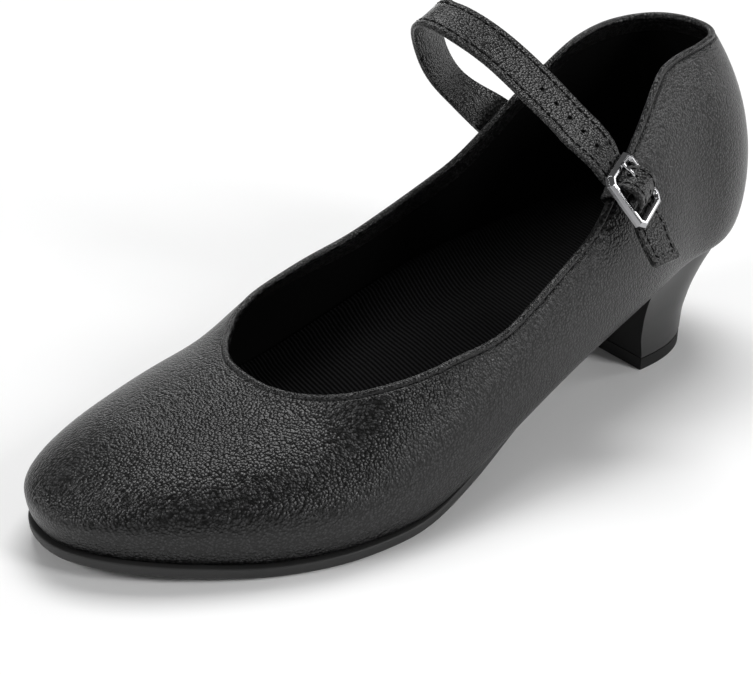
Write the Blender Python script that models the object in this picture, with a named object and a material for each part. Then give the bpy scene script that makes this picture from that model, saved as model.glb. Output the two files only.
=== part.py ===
"""Left character shoe: a round-toed pump with a curved block heel and a buckled instep strap.

Frame, in metres: +Z up, the toe points along -Y, the wearer's outer side is +X, and the origin is the
centre of the top piece's flat ground face under the heel.
"""

import math
from collections import namedtuple

import bmesh
import bpy
import numpy as np

# Driving dimensions of the last and the upper
LENGTH = 0.246
BALL_WIDTH = 0.0910
INSTEP_HEIGHT = 0.0805
HEEL_HEIGHT = 0.0343
TOE_SPRING = 0.0047
BACK_OVERHANG = 0.0365
BACK_CURVE = 0.0085
UPPER_WALL = 0.0018
LASTING_MARGIN = 0.008

# Driving dimensions of the bottom
SOLE_THICKNESS = 0.0040
INSOLE_THICKNESS = 0.0040
BREAST_ALONG = 0.2154
TOP_PIECE_THICKNESS = 0.0042
FOOT_SQUARE = 2.4

# Driving dimensions of the strap and its holes
STRAP_WIDTH = 0.0140
STRAP_THICKNESS = 0.0018
HOLE_RADIUS = 0.0010
HOLE_PITCH = 0.0060
HOLES_BEFORE_PRONG = 6
FIRST_HOLE_BEFORE = 0.0086
FIRST_HOLE_AFTER = 0.0062
PRONG_SLOT = 2.2
PRONG_THROUGH = -0.0033
HUMP_HALF = 0.0018
HUMP_SHARE = 0.93
SEWN_ACROSS = (0.04, 0.83, 0.55)

# Driving dimensions of the buckle and its tab
BUCKLE_LONG = 0.0185
BUCKLE_WIDE = 0.0178
BUCKLE_CORNER = 0.0022
BAR_WIDTH = 0.0025
BAR_DEPTH = 0.0022
PIN_RADIUS = 0.00075
PRONG_RADIUS = 0.0006
PRONG_OVER_BAR = 0.0006
PRONG_BEFORE_BAR = 0.0008
PRONG_SHARES = (0.175, 0.325, 0.525, 0.750)
TAB_WIDTH = 0.0080
TAB_THICKNESS = 0.0009
TAB_TURN = 0.446
TAB_SLOT_AHEAD = 1.6
BUCKLE_CENTRE = (0.409, 0.320, 0.936)
BUCKLE_RUN = (0.48, 0.39, -0.79)
BUCKLE_ACROSS = (-0.44, 0.88, 0.16)

# Fit between pieces
CLEARANCE = 0.0003

# How finely the forms are divided
HALF_TURNS = 44
WALL_RINGS = 9
TUCK_RINGS = 3
HEEL_RINGS = 12
STRAP_STEPS = 90
TAB_STEPS = 40
HOLE_SIDES = 12

# Closing of the outline at heel and toe: where each starts, as a share of the length, and how square it is
HEEL_CLOSES, HEEL_SQUARE = 0.13, 2.1
TOE_CLOSES, TOE_SQUARE = 0.74, 2.3
TOE_DROPS, TOE_DROP_SQUARE = 0.87, 2.3

# Turns between which the wall's lines straighten in plan towards the throat
THROAT_FROM, THROAT_TO = 0.45, 0.75

# along is a share of LENGTH from the back. centre, inner, outer, tuck and sole_in are shares of
# BALL_WIDTH, ridge and widest of INSTEP_HEIGHT, rise of HEEL_HEIGHT, spring of TOE_SPRING, sole of
# SOLE_THICKNESS.
Section = namedtuple("Section", "along centre inner outer ridge widest tuck rise spring sole_in sole")
SECTIONS = (
    Section(0.00, 0.000, 0.358, 0.323, 0.980, 0.225, 0.057, 1.000, 0.00, 0.060, 0.6),
    Section(0.14, 0.000, 0.340, 0.325, 0.980, 0.206, 0.057, 0.940, 0.00, 0.062, 0.6),
    Section(0.24, 0.004, 0.335, 0.374, 0.950, 0.186, 0.062, 0.820, 0.00, 0.070, 0.6),
    Section(0.36, 0.008, 0.361, 0.419, 0.860, 0.154, 0.066, 0.624, 0.00, 0.076, 0.6),
    Section(0.48, 0.010, 0.415, 0.465, 0.740, 0.143, 0.055, 0.392, 0.00, 0.056, 0.8),
    Section(0.58, 0.008, 0.461, 0.503, 0.668, 0.131, 0.040, 0.170, 0.00, 0.024, 1.0),
    Section(0.66, 0.001, 0.486, 0.522, 0.600, 0.122, 0.034, 0.014, 0.00, 0.008, 1.0),
    Section(0.73, -0.006, 0.486, 0.509, 0.434, 0.112, 0.034, 0.000, 0.00, 0.003, 1.0),
    Section(0.81, -0.024, 0.456, 0.465, 0.370, 0.108, 0.034, 0.000, 0.00, 0.001, 1.0),
    Section(0.90, -0.050, 0.398, 0.402, 0.285, 0.101, 0.034, 0.000, 0.41, 0.001, 1.0),
    Section(1.00, -0.080, 0.349, 0.337, 0.189, 0.089, 0.034, 0.000, 1.00, 0.001, 1.0),
)

# turn goes from the back (0) to the throat (1) round either side, along is a share of LENGTH, around
# is the angle in degrees over the last, from its widest line (0) to its ridge (90), and inner is how
# much lower that angle is on the inner side.
Topline = namedtuple("Topline", "turn along around inner")
TOPLINE = (
    Topline(0.0, 0.000, 50.8, 0.0),
    Topline(0.1, 0.022, 51.4, 1.0),
    Topline(0.2, 0.088, 52.8, 3.2),
    Topline(0.3, 0.177, 52.8, 3.2),
    Topline(0.4, 0.277, 41.8, 0.0),
    Topline(0.5, 0.384, 28.5, -1.5),
    Topline(0.6, 0.495, 27.7, -1.5),
    Topline(0.7, 0.590, 36.2, -0.5),
    Topline(0.8, 0.684, 50.5, 0.0),
    Topline(0.9, 0.741, 74.0, 0.0),
    Topline(0.95, 0.749, 82.0, 0.0),
    Topline(1.0, 0.751, 90.0, 0.0),
)

# down is the share of the heel's height from the seat, wide and long are shares of the seat's size,
# and set_in is how far its back stands in from the seat's, as a share of the seat's length.
HeelLevel = namedtuple("HeelLevel", "down wide long set_in")
HEEL_LEVELS = (
    HeelLevel(0.00, 1.000, 1.000, 0.000),
    HeelLevel(0.12, 0.960, 0.945, 0.062),
    HeelLevel(0.30, 0.905, 0.856, 0.156),
    HeelLevel(0.55, 0.857, 0.753, 0.258),
    HeelLevel(0.80, 0.837, 0.683, 0.319),
    HeelLevel(1.00, 0.837, 0.650, 0.334),
)

# A place on the strap's middle line: across is a share of BALL_WIDTH, along of LENGTH and height of
# INSTEP_HEIGHT. The way across the strap is lean towards the outer side and rise upwards for each unit
# towards the heel.
Pose = namedtuple("Pose", "across along height lean rise")
LOOP = (
    Pose(-0.422, 0.329, 1.047, -0.37, 0.10),
    Pose(-0.436, 0.364, 1.217, -0.40, 0.13),
    Pose(-0.378, 0.388, 1.354, -0.38, 0.18),
    Pose(-0.284, 0.400, 1.411, -0.33, 0.25),
    Pose(-0.198, 0.384, 1.376, -0.27, 0.30),
    Pose(-0.102, 0.361, 1.300, -0.24, 0.31),
    Pose(0.048, 0.347, 1.199, -0.24, 0.31),
    Pose(0.219, 0.341, 1.100, -0.27, 0.27),
)
TAIL = (
    Pose(0.486, 0.310, 0.778, -0.20, -0.15),
    Pose(0.549, 0.311, 0.708, -0.155, -0.195),
)

# A place on the last's skin: along is a share of LENGTH from the back, and around is the angle in
# degrees over the last, as in TOPLINE. SEWN holds the strap's end outside the inner wall, and
# TAB_INSIDE the tab's end inside the outer wall.
SkinPlace = namedtuple("SkinPlace", "along around")
SEWN = (
    SkinPlace(0.238, 9.0),
    SkinPlace(0.250, 15.5),
    SkinPlace(0.264, 21.0),
    SkinPlace(0.278, 26.0),
)
TAB_INSIDE = (
    SkinPlace(0.296, 24.0),
    SkinPlace(0.307, 27.8),
)


def column(rows, name):
    """One named column of a table, as an array."""
    return np.array([getattr(row, name) for row in rows], float)


def smooth(rows, key, name, at):
    """Column name of a table at the given keys, on a smooth curve that never overshoots its rows."""
    x, y = column(rows, key), column(rows, name)
    at = np.clip(np.asarray(at, float), x[0], x[-1])
    step = np.diff(x)
    slope = np.diff(y) / step
    turn = np.zeros(len(x))
    same_way = slope[:-1] * slope[1:] > 0
    before, after = 2 * step[1:] + step[:-1], step[1:] + 2 * step[:-1]
    safe = np.where(same_way, slope[:-1] * slope[1:], 1.0)
    mean = (before + after) * safe / (before * slope[1:] + after * slope[:-1] + 1e-30 * ~same_way)
    turn[1:-1] = np.where(same_way, mean, 0.0)
    turn[0], turn[-1] = slope[0], slope[-1]
    i = np.clip(np.searchsorted(x, at, side="right") - 1, 0, len(step) - 1)
    t = (at - x[i]) / step[i]
    hermite = (
        (2 * t**3 - 3 * t**2 + 1) * y[i]
        + (t**3 - 2 * t**2 + t) * step[i] * turn[i]
        + (3 * t**2 - 2 * t**3) * y[i + 1]
        + (t**3 - t**2) * step[i] * turn[i + 1]
    )
    return hermite


def section(name, along):
    """A column of SECTIONS at shares along the last."""
    return smooth(SECTIONS, "along", name, along)


def closing(share, squareness):
    """How far an outline is still open: 1 before it starts to close, then round down to 0 at share 1."""
    share = np.clip(share, 0.0, 1.0)
    return (1.0 - share**squareness) ** (1.0 / squareness)


def half_width(along, side):
    """The last's half width on the outer side (+1) or the inner side (-1)."""
    body = np.where(side > 0, section("outer", along), section("inner", along)) * BALL_WIDTH
    heel = closing((HEEL_CLOSES - along) / HEEL_CLOSES, HEEL_SQUARE)
    toe = closing((along - TOE_CLOSES) / (1.0 - TOE_CLOSES), TOE_SQUARE)
    return body * heel * toe


def feather_height(along):
    """Height of the upper's underside over the floor."""
    return (
        SOLE_THICKNESS
        + CLEARANCE
        + HEEL_HEIGHT * section("rise", along)
        + TOE_SPRING * section("spring", along)
    )


def along_of(y):
    """Share along the last of a place in the row frame."""
    return (BACK_OVERHANG - np.asarray(y, float)) / LENGTH


def last_point(along, around, side):
    """A point of the last's skin above its widest line: around is an angle in radians, 0 there and
    a quarter turn at the ridge."""
    x = section("centre", along) * BALL_WIDTH + side * half_width(along, side) * np.cos(around)
    drop = closing((along - TOE_DROPS) / (1.0 - TOE_DROPS), TOE_DROP_SQUARE)
    widest = section("widest", along) * INSTEP_HEIGHT
    over = (section("ridge", along) * INSTEP_HEIGHT - widest) * drop * np.sin(around)
    fade = np.clip(1.0 - along / (3 * HEEL_CLOSES), 0.0, 1.0) ** 2
    y = BACK_OVERHANG - along * LENGTH - BACK_CURVE * fade * np.sin(around) ** 2 / 0.3
    return np.stack([x, y, feather_height(along) + widest + over], axis=-1)


def foot_along(turn):
    """Where a line up the wall starts at the widest line, as a share along the last."""
    return (1.0 - np.cos(np.pi * turn)) / 2.0


def wall_point(turn, up, side):
    """A point of the upper's outer skin: turn goes from the back to the toe, and up from the widest
    line (0) to the topline (1)."""
    turn, up, side = np.broadcast_arrays(*(np.asarray(v, float) for v in (turn, up, side)))
    foot, top = foot_along(turn), smooth(TOPLINE, "turn", "along", turn)
    lower = np.where(side < 0, smooth(TOPLINE, "turn", "inner", turn), 0.0)
    end = np.radians(smooth(TOPLINE, "turn", "around", turn) - lower)
    eased = (1.0 - np.cos(up * end)) / (1.0 - np.cos(end))
    along = foot + (top - foot) * eased
    # Over the vamp the lines run straight in plan towards the throat.
    centre = section("centre", along) * BALL_WIDTH
    foot_x = section("centre", foot) * BALL_WIDTH + side * half_width(foot, side)
    top_x = last_point(top, end, side)[..., 0]
    share = side * (foot_x + (top_x - foot_x) * eased - centre) / np.maximum(half_width(along, side), 1e-9)
    straight = np.arccos(np.clip(share, 0.0, 1.0))
    blend = np.clip((turn - THROAT_FROM) / (THROAT_TO - THROAT_FROM), 0.0, 1.0)
    blend = blend * blend * (3.0 - 2.0 * blend)
    around = np.where(up > 0, up * end + (straight - up * end) * blend, 0.0)
    return last_point(along, around, side)


def loop_turns():
    """Turn and side of each point round a closed loop: back, outer side, toe, inner side."""
    half = np.arange(HALF_TURNS + 1) / HALF_TURNS
    turn = np.concatenate([half, half[-2:0:-1]])
    side = np.concatenate([np.ones(HALF_TURNS + 1), -np.ones(HALF_TURNS - 1)])
    return turn, side


def widest_loop():
    """The widest line, as points, with the outward direction of each in plan."""
    turn, side = loop_turns()
    points = wall_point(turn, 0.0, side)
    run = np.roll(points, -1, axis=0) - np.roll(points, 1, axis=0)
    out = np.stack([-run[:, 1], run[:, 0], np.zeros(len(run))], axis=-1)
    out /= np.linalg.norm(out, axis=1)[:, None]
    return points, out


def inset_loop(inset):
    """The widest line moved inwards in plan by an amount at each point."""
    points, out = widest_loop()
    moved = points - out * np.asarray(inset).reshape(-1, 1)
    return moved


def loop_section(name):
    """A column of SECTIONS at each point of a loop."""
    turn, _ = loop_turns()
    return section(name, foot_along(turn))


def tucked_ring(quarter):
    """A ring of the upper below its widest line: quarter goes from 0 there to 1 at the feather edge."""
    ring = inset_loop(loop_section("tuck") * BALL_WIDTH * (1.0 - math.cos(quarter * math.pi / 2)))
    widest = loop_section("widest") * INSTEP_HEIGHT
    ring[:, 2] = feather_height(along_of(ring[:, 1])) + widest * (1.0 - math.sin(quarter * math.pi / 2))
    return ring


def margin_ring():
    """The inner edge of the lasting margin, turned in under the last."""
    ring = inset_loop(loop_section("tuck") * BALL_WIDTH + LASTING_MARGIN)
    ring[:, 2] = feather_height(along_of(ring[:, 1]))
    return ring


def upper_rings():
    """Every ring of the upper's outer skin, from the lasting margin up to the topline."""
    turn, side = loop_turns()
    rings = [margin_ring()]
    rings += [tucked_ring(1.0 - k / TUCK_RINGS) for k in range(TUCK_RINGS)]
    rings += [wall_point(turn, k / WALL_RINGS, side) for k in range(WALL_RINGS + 1)]
    return rings


def material(name, colour, roughness, metallic=0.0):
    """A plain Principled material."""
    made = bpy.data.materials.new(name)
    made.use_nodes = True
    shader = made.node_tree.nodes["Principled BSDF"]
    shader.inputs["Base Color"].default_value = (*colour, 1.0)
    shader.inputs["Roughness"].default_value = roughness
    shader.inputs["Metallic"].default_value = metallic
    return made


def add_object(name, vertices, faces, finish):
    """A mesh object of the given points and faces, shaded smooth. A closed one is turned to face out."""
    mesh = bpy.data.meshes.new(name)
    mesh.from_pydata([tuple(map(float, v)) for v in vertices], [], faces)
    work = bmesh.new()
    work.from_mesh(mesh)
    bmesh.ops.remove_doubles(work, verts=work.verts, dist=1e-6)
    if all(edge.is_manifold for edge in work.edges):
        bmesh.ops.recalc_face_normals(work, faces=work.faces)
    work.to_mesh(mesh)
    work.free()
    mesh.shade_smooth()
    mesh.set_sharp_from_angle(angle=math.radians(40))
    if finish:
        mesh.materials.append(finish)
    made = bpy.data.objects.new(name, mesh)
    bpy.context.scene.collection.objects.link(made)
    return made


def band_faces(rings, count):
    """Quads between successive closed rings of count points each, facing out when the rings go up."""
    return [
        (r * count + k, (r + 1) * count + k, (r + 1) * count + (k + 1) % count, r * count + (k + 1) % count)
        for r in range(rings - 1)
        for k in range(count)
    ]


def make_upper(finish):
    """The hollow upper: one skin from margin to topline, thickened inwards."""
    rings = upper_rings()
    count = len(rings[0])
    upper = add_object("upper", np.concatenate(rings), band_faces(len(rings), count), finish)
    wall = upper.modifiers.new("wall", "SOLIDIFY")
    wall.thickness = UPPER_WALL
    wall.offset = -1.0
    wall.use_even_offset = True
    return upper


def slab(name, levels, finish):
    """A closed solid of stacked outlines. Each level is a pair of rows of points, the outer and the
    inner side, that run side by side from one end of the piece to the other."""
    count = len(levels[0][0])
    vertices = [point for outer, inner in levels for point in (*outer, *inner)]
    faces = []
    for level in range(len(levels)):
        base = 2 * count * level
        for k in range(count - 1):
            if level in (0, len(levels) - 1):
                faces.append((base + k, base + k + 1, base + count + k + 1, base + count + k))
            if level + 1 < len(levels):
                for row in (base + k, base + count + k):
                    faces.append((row, row + 1, row + 2 * count + 1, row + 2 * count))
        if level + 1 < len(levels):
            for row in (base, base + count - 1):
                faces.append((row, row + count, row + 3 * count, row + 2 * count))
    return add_object(name, vertices, faces, finish)


def two_sides(loop):
    """The outer and the inner side of a closed loop, from the back to the toe."""
    return loop[: HALF_TURNS + 1], np.roll(loop[::-1], 1, axis=0)[: HALF_TURNS + 1]


def at_height(sides, height):
    """Both sides of an outline moved to a height that is a function of place along the last."""
    moved = []
    for side in sides:
        side = np.array(side)
        side[:, 2] = height(along_of(side[:, 1]))
        moved.append(side)
    return tuple(moved)


def sole_loop():
    """The outline of the outsole and of the heel seat."""
    return inset_loop(loop_section("sole_in") * BALL_WIDTH)


def breast_turn(loop):
    """The first point of a loop in front of the heel breast."""
    return int(np.argmax(along_of(loop[: HALF_TURNS + 1, 1]) > BREAST_ALONG))


def breast_end(side, gap):
    """The point of one side of an outline at the heel breast, or a gap in front of it."""
    breast = BACK_OVERHANG - BREAST_ALONG * LENGTH - gap
    return np.array([[np.interp(-breast, -side[:, 1], side[:, 0]), breast, 0.0]])


def make_outsole(finish):
    """The outsole, from the heel breast to the toe, with its top against the lasting margin."""
    loop = sole_loop()
    first = breast_turn(loop)
    sides = [np.concatenate([breast_end(side, CLEARANCE), side[first:]]) for side in two_sides(loop)]

    def top(along):
        return feather_height(along) - CLEARANCE

    def bottom(along):
        return top(along) - SOLE_THICKNESS * section("sole", along)

    return slab("outsole", [at_height(sides, top), at_height(sides, bottom)], finish)


def make_insole(finish):
    """The padded insole on the lasting margin, wider at its top where the wall leans out."""
    tuck = loop_section("tuck") * BALL_WIDTH
    lower = two_sides(inset_loop(tuck + UPPER_WALL + 2 * CLEARANCE))
    upper = two_sides(inset_loop(0.35 * tuck + UPPER_WALL + 3 * CLEARANCE))

    def bottom(along):
        return feather_height(along) + UPPER_WALL + CLEARANCE

    def top(along):
        return bottom(along) + INSOLE_THICKNESS

    return slab("insole", [at_height(upper, top), at_height(lower, bottom)], finish)


def seat_sides():
    """The heel seat's outline in plan, both sides from the back to the breast."""
    loop = sole_loop()
    first = breast_turn(loop)
    return [np.concatenate([side[:first], breast_end(side, 0.0)]) for side in two_sides(loop)]


def heel_level(down):
    """The heel block's outline at a share of its height down from the seat, in plan. It goes from the
    seat's outline to a plain round one at the foot."""
    sides = seat_sides()
    back = sides[0][0, 1]
    long = back - sides[0][-1, 1]
    wide, deep, shift = (float(smooth(HEEL_LEVELS, "down", n, down)) for n in ("wide", "long", "set_in"))
    ring = []
    for side in sides:
        side = np.array(side)
        rounded = side[-1, 0] * closing((side[:, 1] - side[-1, 1]) / long, FOOT_SQUARE)
        side[:, 0] = wide * (side[:, 0] * (1.0 - down) + rounded * down)
        side[:, 1] = back - long * shift - (back - side[:, 1]) * deep
        ring.append(side)
    return ring


def make_heel(finish):
    """The curved block heel, its top shaped to the seat and its foot on the top piece."""
    foot = TOP_PIECE_THICKNESS + CLEARANCE
    seat = [feather_height(along_of(side[:, 1])) - CLEARANCE for side in seat_sides()]
    levels = []
    for down in np.linspace(0.0, 1.0, HEEL_RINGS):
        level = heel_level(down)
        for side, top in zip(level, seat):
            side[:, 2] = top * (1.0 - down) + foot * down
        levels.append(level)
    return slab("heel", levels, finish)


def make_top_piece(finish):
    """The wearing piece under the heel."""
    foot = heel_level(1.0)
    levels = [at_height(foot, lambda along, z=z: z) for z in (TOP_PIECE_THICKNESS, 0.0)]
    return slab("top_piece", levels, finish)


def unit(vector):
    """A vector, or each row of vectors, at length one."""
    vector = np.asarray(vector, float)
    return vector / np.linalg.norm(vector, axis=-1, keepdims=True)


def curve_through(points, at):
    """Points of a smooth curve through rows of points: at runs from 0 at the first to 1 at the last,
    in step with the distance between them."""
    points = np.asarray(points, float)
    knots = np.concatenate([[0.0], np.cumsum(np.linalg.norm(np.diff(points[:, :3], axis=0), axis=1))])
    knots /= knots[-1]
    gaps = np.diff(knots)
    size = len(knots)
    system = np.eye(size)
    target = np.zeros_like(points)
    slopes = np.diff(points, axis=0) / gaps[:, None]
    for k in range(1, size - 1):
        system[k, k - 1 : k + 2] = gaps[k - 1], 2 * (gaps[k - 1] + gaps[k]), gaps[k]
        target[k] = 6 * (slopes[k] - slopes[k - 1])
    bends = np.linalg.solve(system, target)
    at = np.asarray(at, float)
    i = np.clip(np.searchsorted(knots, at, side="right") - 1, 0, size - 2)
    a = ((knots[i + 1] - at) / gaps[i])[:, None]
    b = 1.0 - a
    h = gaps[i][:, None]
    bent = ((a**3 - a) * bends[i] + (b**3 - b) * bends[i + 1]) * h**2 / 6
    return a * points[i] + b * points[i + 1] + bent


def wall_normal(turn, up, side):
    """The outward direction of the upper's skin at a point."""
    step = 0.01
    along = wall_point(turn + step, up, side) - wall_point(turn - step, up, side)
    rise = wall_point(turn, min(up + step, 1.0), side) - wall_point(turn, max(up - step, 0.0), side)
    return unit(side * np.cross(rise, along))


def off_skin(place, side, distance):
    """A point at a distance outside a place on the last's skin."""
    step = 0.005
    along, around = place.along, math.radians(place.around)
    forward = last_point(along + step, around, side) - last_point(along - step, around, side)
    rise = last_point(along, around + step, side) - last_point(along, around - step, side)
    return last_point(along, around, side) + unit(side * np.cross(rise, forward)) * distance


def in_frame(across, along, height):
    """A place given as shares of the ball width, the length and the instep height."""
    return np.array([across * BALL_WIDTH, BACK_OVERHANG - along * LENGTH, height * INSTEP_HEIGHT])


def buckle_place(run, lift, cross=0.0):
    """A point at the buckle: run along the strap, lift out from the frame's middle, cross over it."""
    run_way, wide_way, out_way = buckle_axes()
    return in_frame(*BUCKLE_CENTRE) + run_way * run + out_way * lift + wide_way * cross


def buckle_axes():
    """The buckle's directions: down the strap, across the strap towards the heel, and outwards."""
    run_way = unit(BUCKLE_RUN)
    wide_way = unit(np.asarray(BUCKLE_ACROSS) - run_way * np.dot(BUCKLE_ACROSS, run_way))
    return run_way, wide_way, np.cross(run_way, wide_way)


def strap_rows():
    """Points of the strap's middle line, each with the direction across the strap and the share of
    its width: sewn end, loop, through the buckle where its sides cup in, and free tail."""
    half = STRAP_THICKNESS / 2
    rows = []
    for place in SEWN:
        rows.append((*off_skin(place, -1, half + 3 * CLEARANCE), *SEWN_ACROSS, 1.0))
    for row in LOOP:
        rows.append((*in_frame(row.across, row.along, row.height), row.lean, 1.0, row.rise, 1.0))
    _, wide_way, _ = buckle_axes()
    under = -(BAR_DEPTH / 2 + half + CLEARANCE)
    over = PIN_RADIUS + 2 * PRONG_RADIUS + 2 * CLEARANCE + half
    bar = (BUCKLE_LONG - BAR_WIDTH) / 2
    cupped = (BUCKLE_WIDE - 2 * BAR_WIDTH - 2 * CLEARANCE) / STRAP_WIDTH
    half_bar = BAR_WIDTH / 2
    passes = ((-bar - half_bar, under, 1.0), (-bar + half_bar, under, cupped))
    passes += ((-HUMP_HALF, over * HUMP_SHARE, cupped), (HUMP_HALF, over * HUMP_SHARE, cupped))
    passes += ((bar - half_bar, under, cupped), (bar + half_bar, under, 1.0))
    for run, lift, share in passes:
        rows.append((*buckle_place(run, lift), *wide_way, share))
    for row in TAIL:
        rows.append((*in_frame(row.across, row.along, row.height), row.lean, 1.0, row.rise, 1.0))
    return np.array(rows)


def ribbon(name, rows, width, thickness, steps, finish):
    """A closed strip of even thickness along rows of a middle line, its crossways direction and its
    share of the width. Its long edges are rounded off by a shallow chamfer."""
    line = curve_through(rows, np.linspace(0.0, 1.0, steps))
    points, ways, share = line[:, :3], line[:, 3:6], np.minimum(line[:, 6:], 1.0)
    run = unit(np.gradient(points, axis=0))
    ways = unit(ways - run * np.sum(ways * run, axis=1)[:, None])
    out = np.cross(run, ways)
    chamfer = thickness * 0.25
    profile = []
    for side_w, side_t in ((1, 1), (-1, 1), (-1, -1), (1, -1)):
        near = (width / 2 - chamfer, thickness / 2)
        far = (width / 2, thickness / 2 - chamfer)
        pair = (far, near) if side_w * side_t > 0 else (near, far)
        profile += [(side_w * w, side_t * t) for w, t in pair]
    rings = [points + ways * w * share + out * t for w, t in profile]
    count = len(profile)
    vertices = np.stack(rings, axis=1).reshape(-1, 3)
    faces = band_faces(steps, count)
    faces.append(tuple(range(count)))
    faces.append(tuple((steps - 1) * count + k for k in range(count)))
    return add_object(name, vertices, faces, finish)


def make_strap(finish):
    """The strap, with its punched holes and the slot that the prong comes through."""
    strap = ribbon("strap", strap_rows(), STRAP_WIDTH, STRAP_THICKNESS, STRAP_STEPS, finish)
    line = curve_through(strap_rows(), np.linspace(0.0, 1.0, STRAP_STEPS * 8))
    points = line[:, :3]
    length = np.concatenate([[0.0], np.cumsum(np.linalg.norm(np.diff(points, axis=0), axis=1))])
    slot_at = length[np.argmin(np.linalg.norm(points - slot_place(), axis=1))]
    ways = unit(line[:, 3:6])
    before = [-FIRST_HOLE_BEFORE - number * HOLE_PITCH for number in range(HOLES_BEFORE_PRONG)]
    for number, place in enumerate([0.0, FIRST_HOLE_AFTER, *before]):
        here = int(np.argmin(np.abs(length - (slot_at + place))))
        run = unit(points[here + 1] - points[here - 1])
        out = np.cross(run, ways[here])
        stretch = PRONG_SLOT if number == 0 else 1.0
        punch = post(f"punch_{number}", points[here], out, run, HOLE_RADIUS, stretch)
        cut = strap.modifiers.new(punch.name, "BOOLEAN")
        cut.operation = "DIFFERENCE"
        cut.object = punch
    return strap


def slot_place():
    """Where the prong comes through the strap: in front of the pin, on the strap's middle line."""
    line = curve_through(strap_rows(), np.linspace(0.0, 1.0, STRAP_STEPS * 8))[:, :3]
    run_way, _, _ = buckle_axes()
    run = (line - in_frame(*BUCKLE_CENTRE)) @ run_way
    near = np.linalg.norm(line - in_frame(*BUCKLE_CENTRE), axis=1) < BUCKLE_LONG
    return line[np.argmin(np.where(near, np.abs(run - PRONG_THROUGH), 1.0))]


def post(name, centre, out, run, radius, stretch):
    """A hidden round cutter through the strap, stretched along it for a slot."""
    across = np.cross(out, run)
    rings = []
    for lift in (-2 * STRAP_THICKNESS, 2 * STRAP_THICKNESS):
        angles = np.arange(HOLE_SIDES) * 2 * math.pi / HOLE_SIDES
        ring = centre + out * lift + np.outer(np.cos(angles) * radius * stretch, run)
        rings.append(ring + np.outer(np.sin(angles) * radius, across))
    faces = band_faces(2, HOLE_SIDES)
    faces += [tuple(range(HOLE_SIDES)), tuple(range(HOLE_SIDES, 2 * HOLE_SIDES))]
    cutter = add_object(name, np.concatenate(rings), faces, None)
    cutter.hide_render = True
    cutter.display_type = "WIRE"
    return cutter


def frame_outline(inset):
    """The buckle frame's chamfered rectangle, moved inwards, as (run, cross) pairs."""
    long, wide = BUCKLE_LONG / 2 - inset, BUCKLE_WIDE / 2 - inset
    corner = max(BUCKLE_CORNER - inset * 0.59, BUCKLE_CORNER * 0.3)
    return [
        (long, wide - corner),
        (long - corner, wide),
        (corner - long, wide),
        (-long, wide - corner),
        (-long, corner - wide),
        (corner - long, -wide),
        (long - corner, -wide),
        (long, corner - wide),
    ]


def tube(name, path, radius, sides, finish):
    """A closed round rod along a path of points in the plane of the buckle's run and lift."""
    path = np.asarray(path, float)
    run_way, wide_way, out_way = buckle_axes()
    points = np.array([buckle_place(run, lift) for run, lift in path])
    along = unit(np.gradient(points, axis=0))
    normal = np.cross(along, wide_way)
    angles = np.arange(sides) * 2 * math.pi / sides
    ring = [points + radius * (math.cos(a) * normal + math.sin(a) * wide_way) for a in angles]
    vertices = np.stack(ring, axis=1).reshape(-1, 3)
    faces = band_faces(len(points), sides)
    faces.append(tuple(range(sides)))
    faces.append(tuple((len(points) - 1) * sides + k for k in range(sides)))
    return add_object(name, vertices, faces, finish)


def make_buckle_frame(finish):
    """The rectangular frame with bevelled bars, joined by the pin across its middle."""
    profile = (
        (0.0, -0.5),
        (0.0, 0.0),
        (0.3, 0.5),
        (0.75, 0.5),
        (1.0, 0.2),
        (1.0, -0.5),
    )
    rings = []
    for inset, lift in profile:
        outline = frame_outline(inset * BAR_WIDTH)
        rings.append(np.array([buckle_place(run, lift * BAR_DEPTH, cross) for run, cross in outline]))
    count = len(rings[0])
    faces = band_faces(len(rings), count)
    last = (len(rings) - 1) * count
    faces += [(last + k, k, (k + 1) % count, last + (k + 1) % count) for k in range(count)]
    frame = add_object("buckle_frame", np.concatenate(rings), faces, finish)
    reach = BUCKLE_WIDE / 2 - BAR_WIDTH / 2
    ends = [buckle_place(0.0, 0.0, cross) for cross in (-reach, reach)]
    pin = rod("pin", ends, PIN_RADIUS, 12)
    join = frame.modifiers.new("pin", "BOOLEAN")
    join.operation = "UNION"
    join.object = pin
    return frame


def rod(name, ends, radius, sides):
    """A hidden straight rod between two points, to be joined to another piece."""
    run_way, _, out_way = buckle_axes()
    angles = np.arange(sides) * 2 * math.pi / sides
    ring = np.outer(np.cos(angles), run_way) + np.outer(np.sin(angles), out_way)
    vertices = np.concatenate([end + radius * ring for end in ends])
    faces = band_faces(2, sides)
    faces += [tuple(range(sides)), tuple(range(sides, 2 * sides))]
    made = add_object(name, vertices, faces, None)
    made.hide_render = True
    made.display_type = "WIRE"
    return made


def make_prong(finish):
    """The prong: curled round the pin, up through the strap's slot and down on the front bar."""
    curl = PIN_RADIUS + CLEARANCE + PRONG_RADIUS
    path = []
    for angle in np.radians(np.arange(-140.0, 91.0, 23.0)):
        path.append((curl * math.cos(angle), curl * math.sin(angle)))
    rest = BAR_DEPTH / 2 + CLEARANCE + PRONG_RADIUS
    bar = BUCKLE_LONG / 2 - BAR_WIDTH / 2
    path += [(-bar * share, lift) for share, lift in zip(PRONG_SHARES, (curl, curl * 1.15, rest * 1.25, rest * 1.25))]
    path += [(-bar + PRONG_BEFORE_BAR, rest * 1.05), (-bar - PRONG_OVER_BAR, rest)]
    return tube("buckle_prong", path, PRONG_RADIUS, 8, finish)


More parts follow.
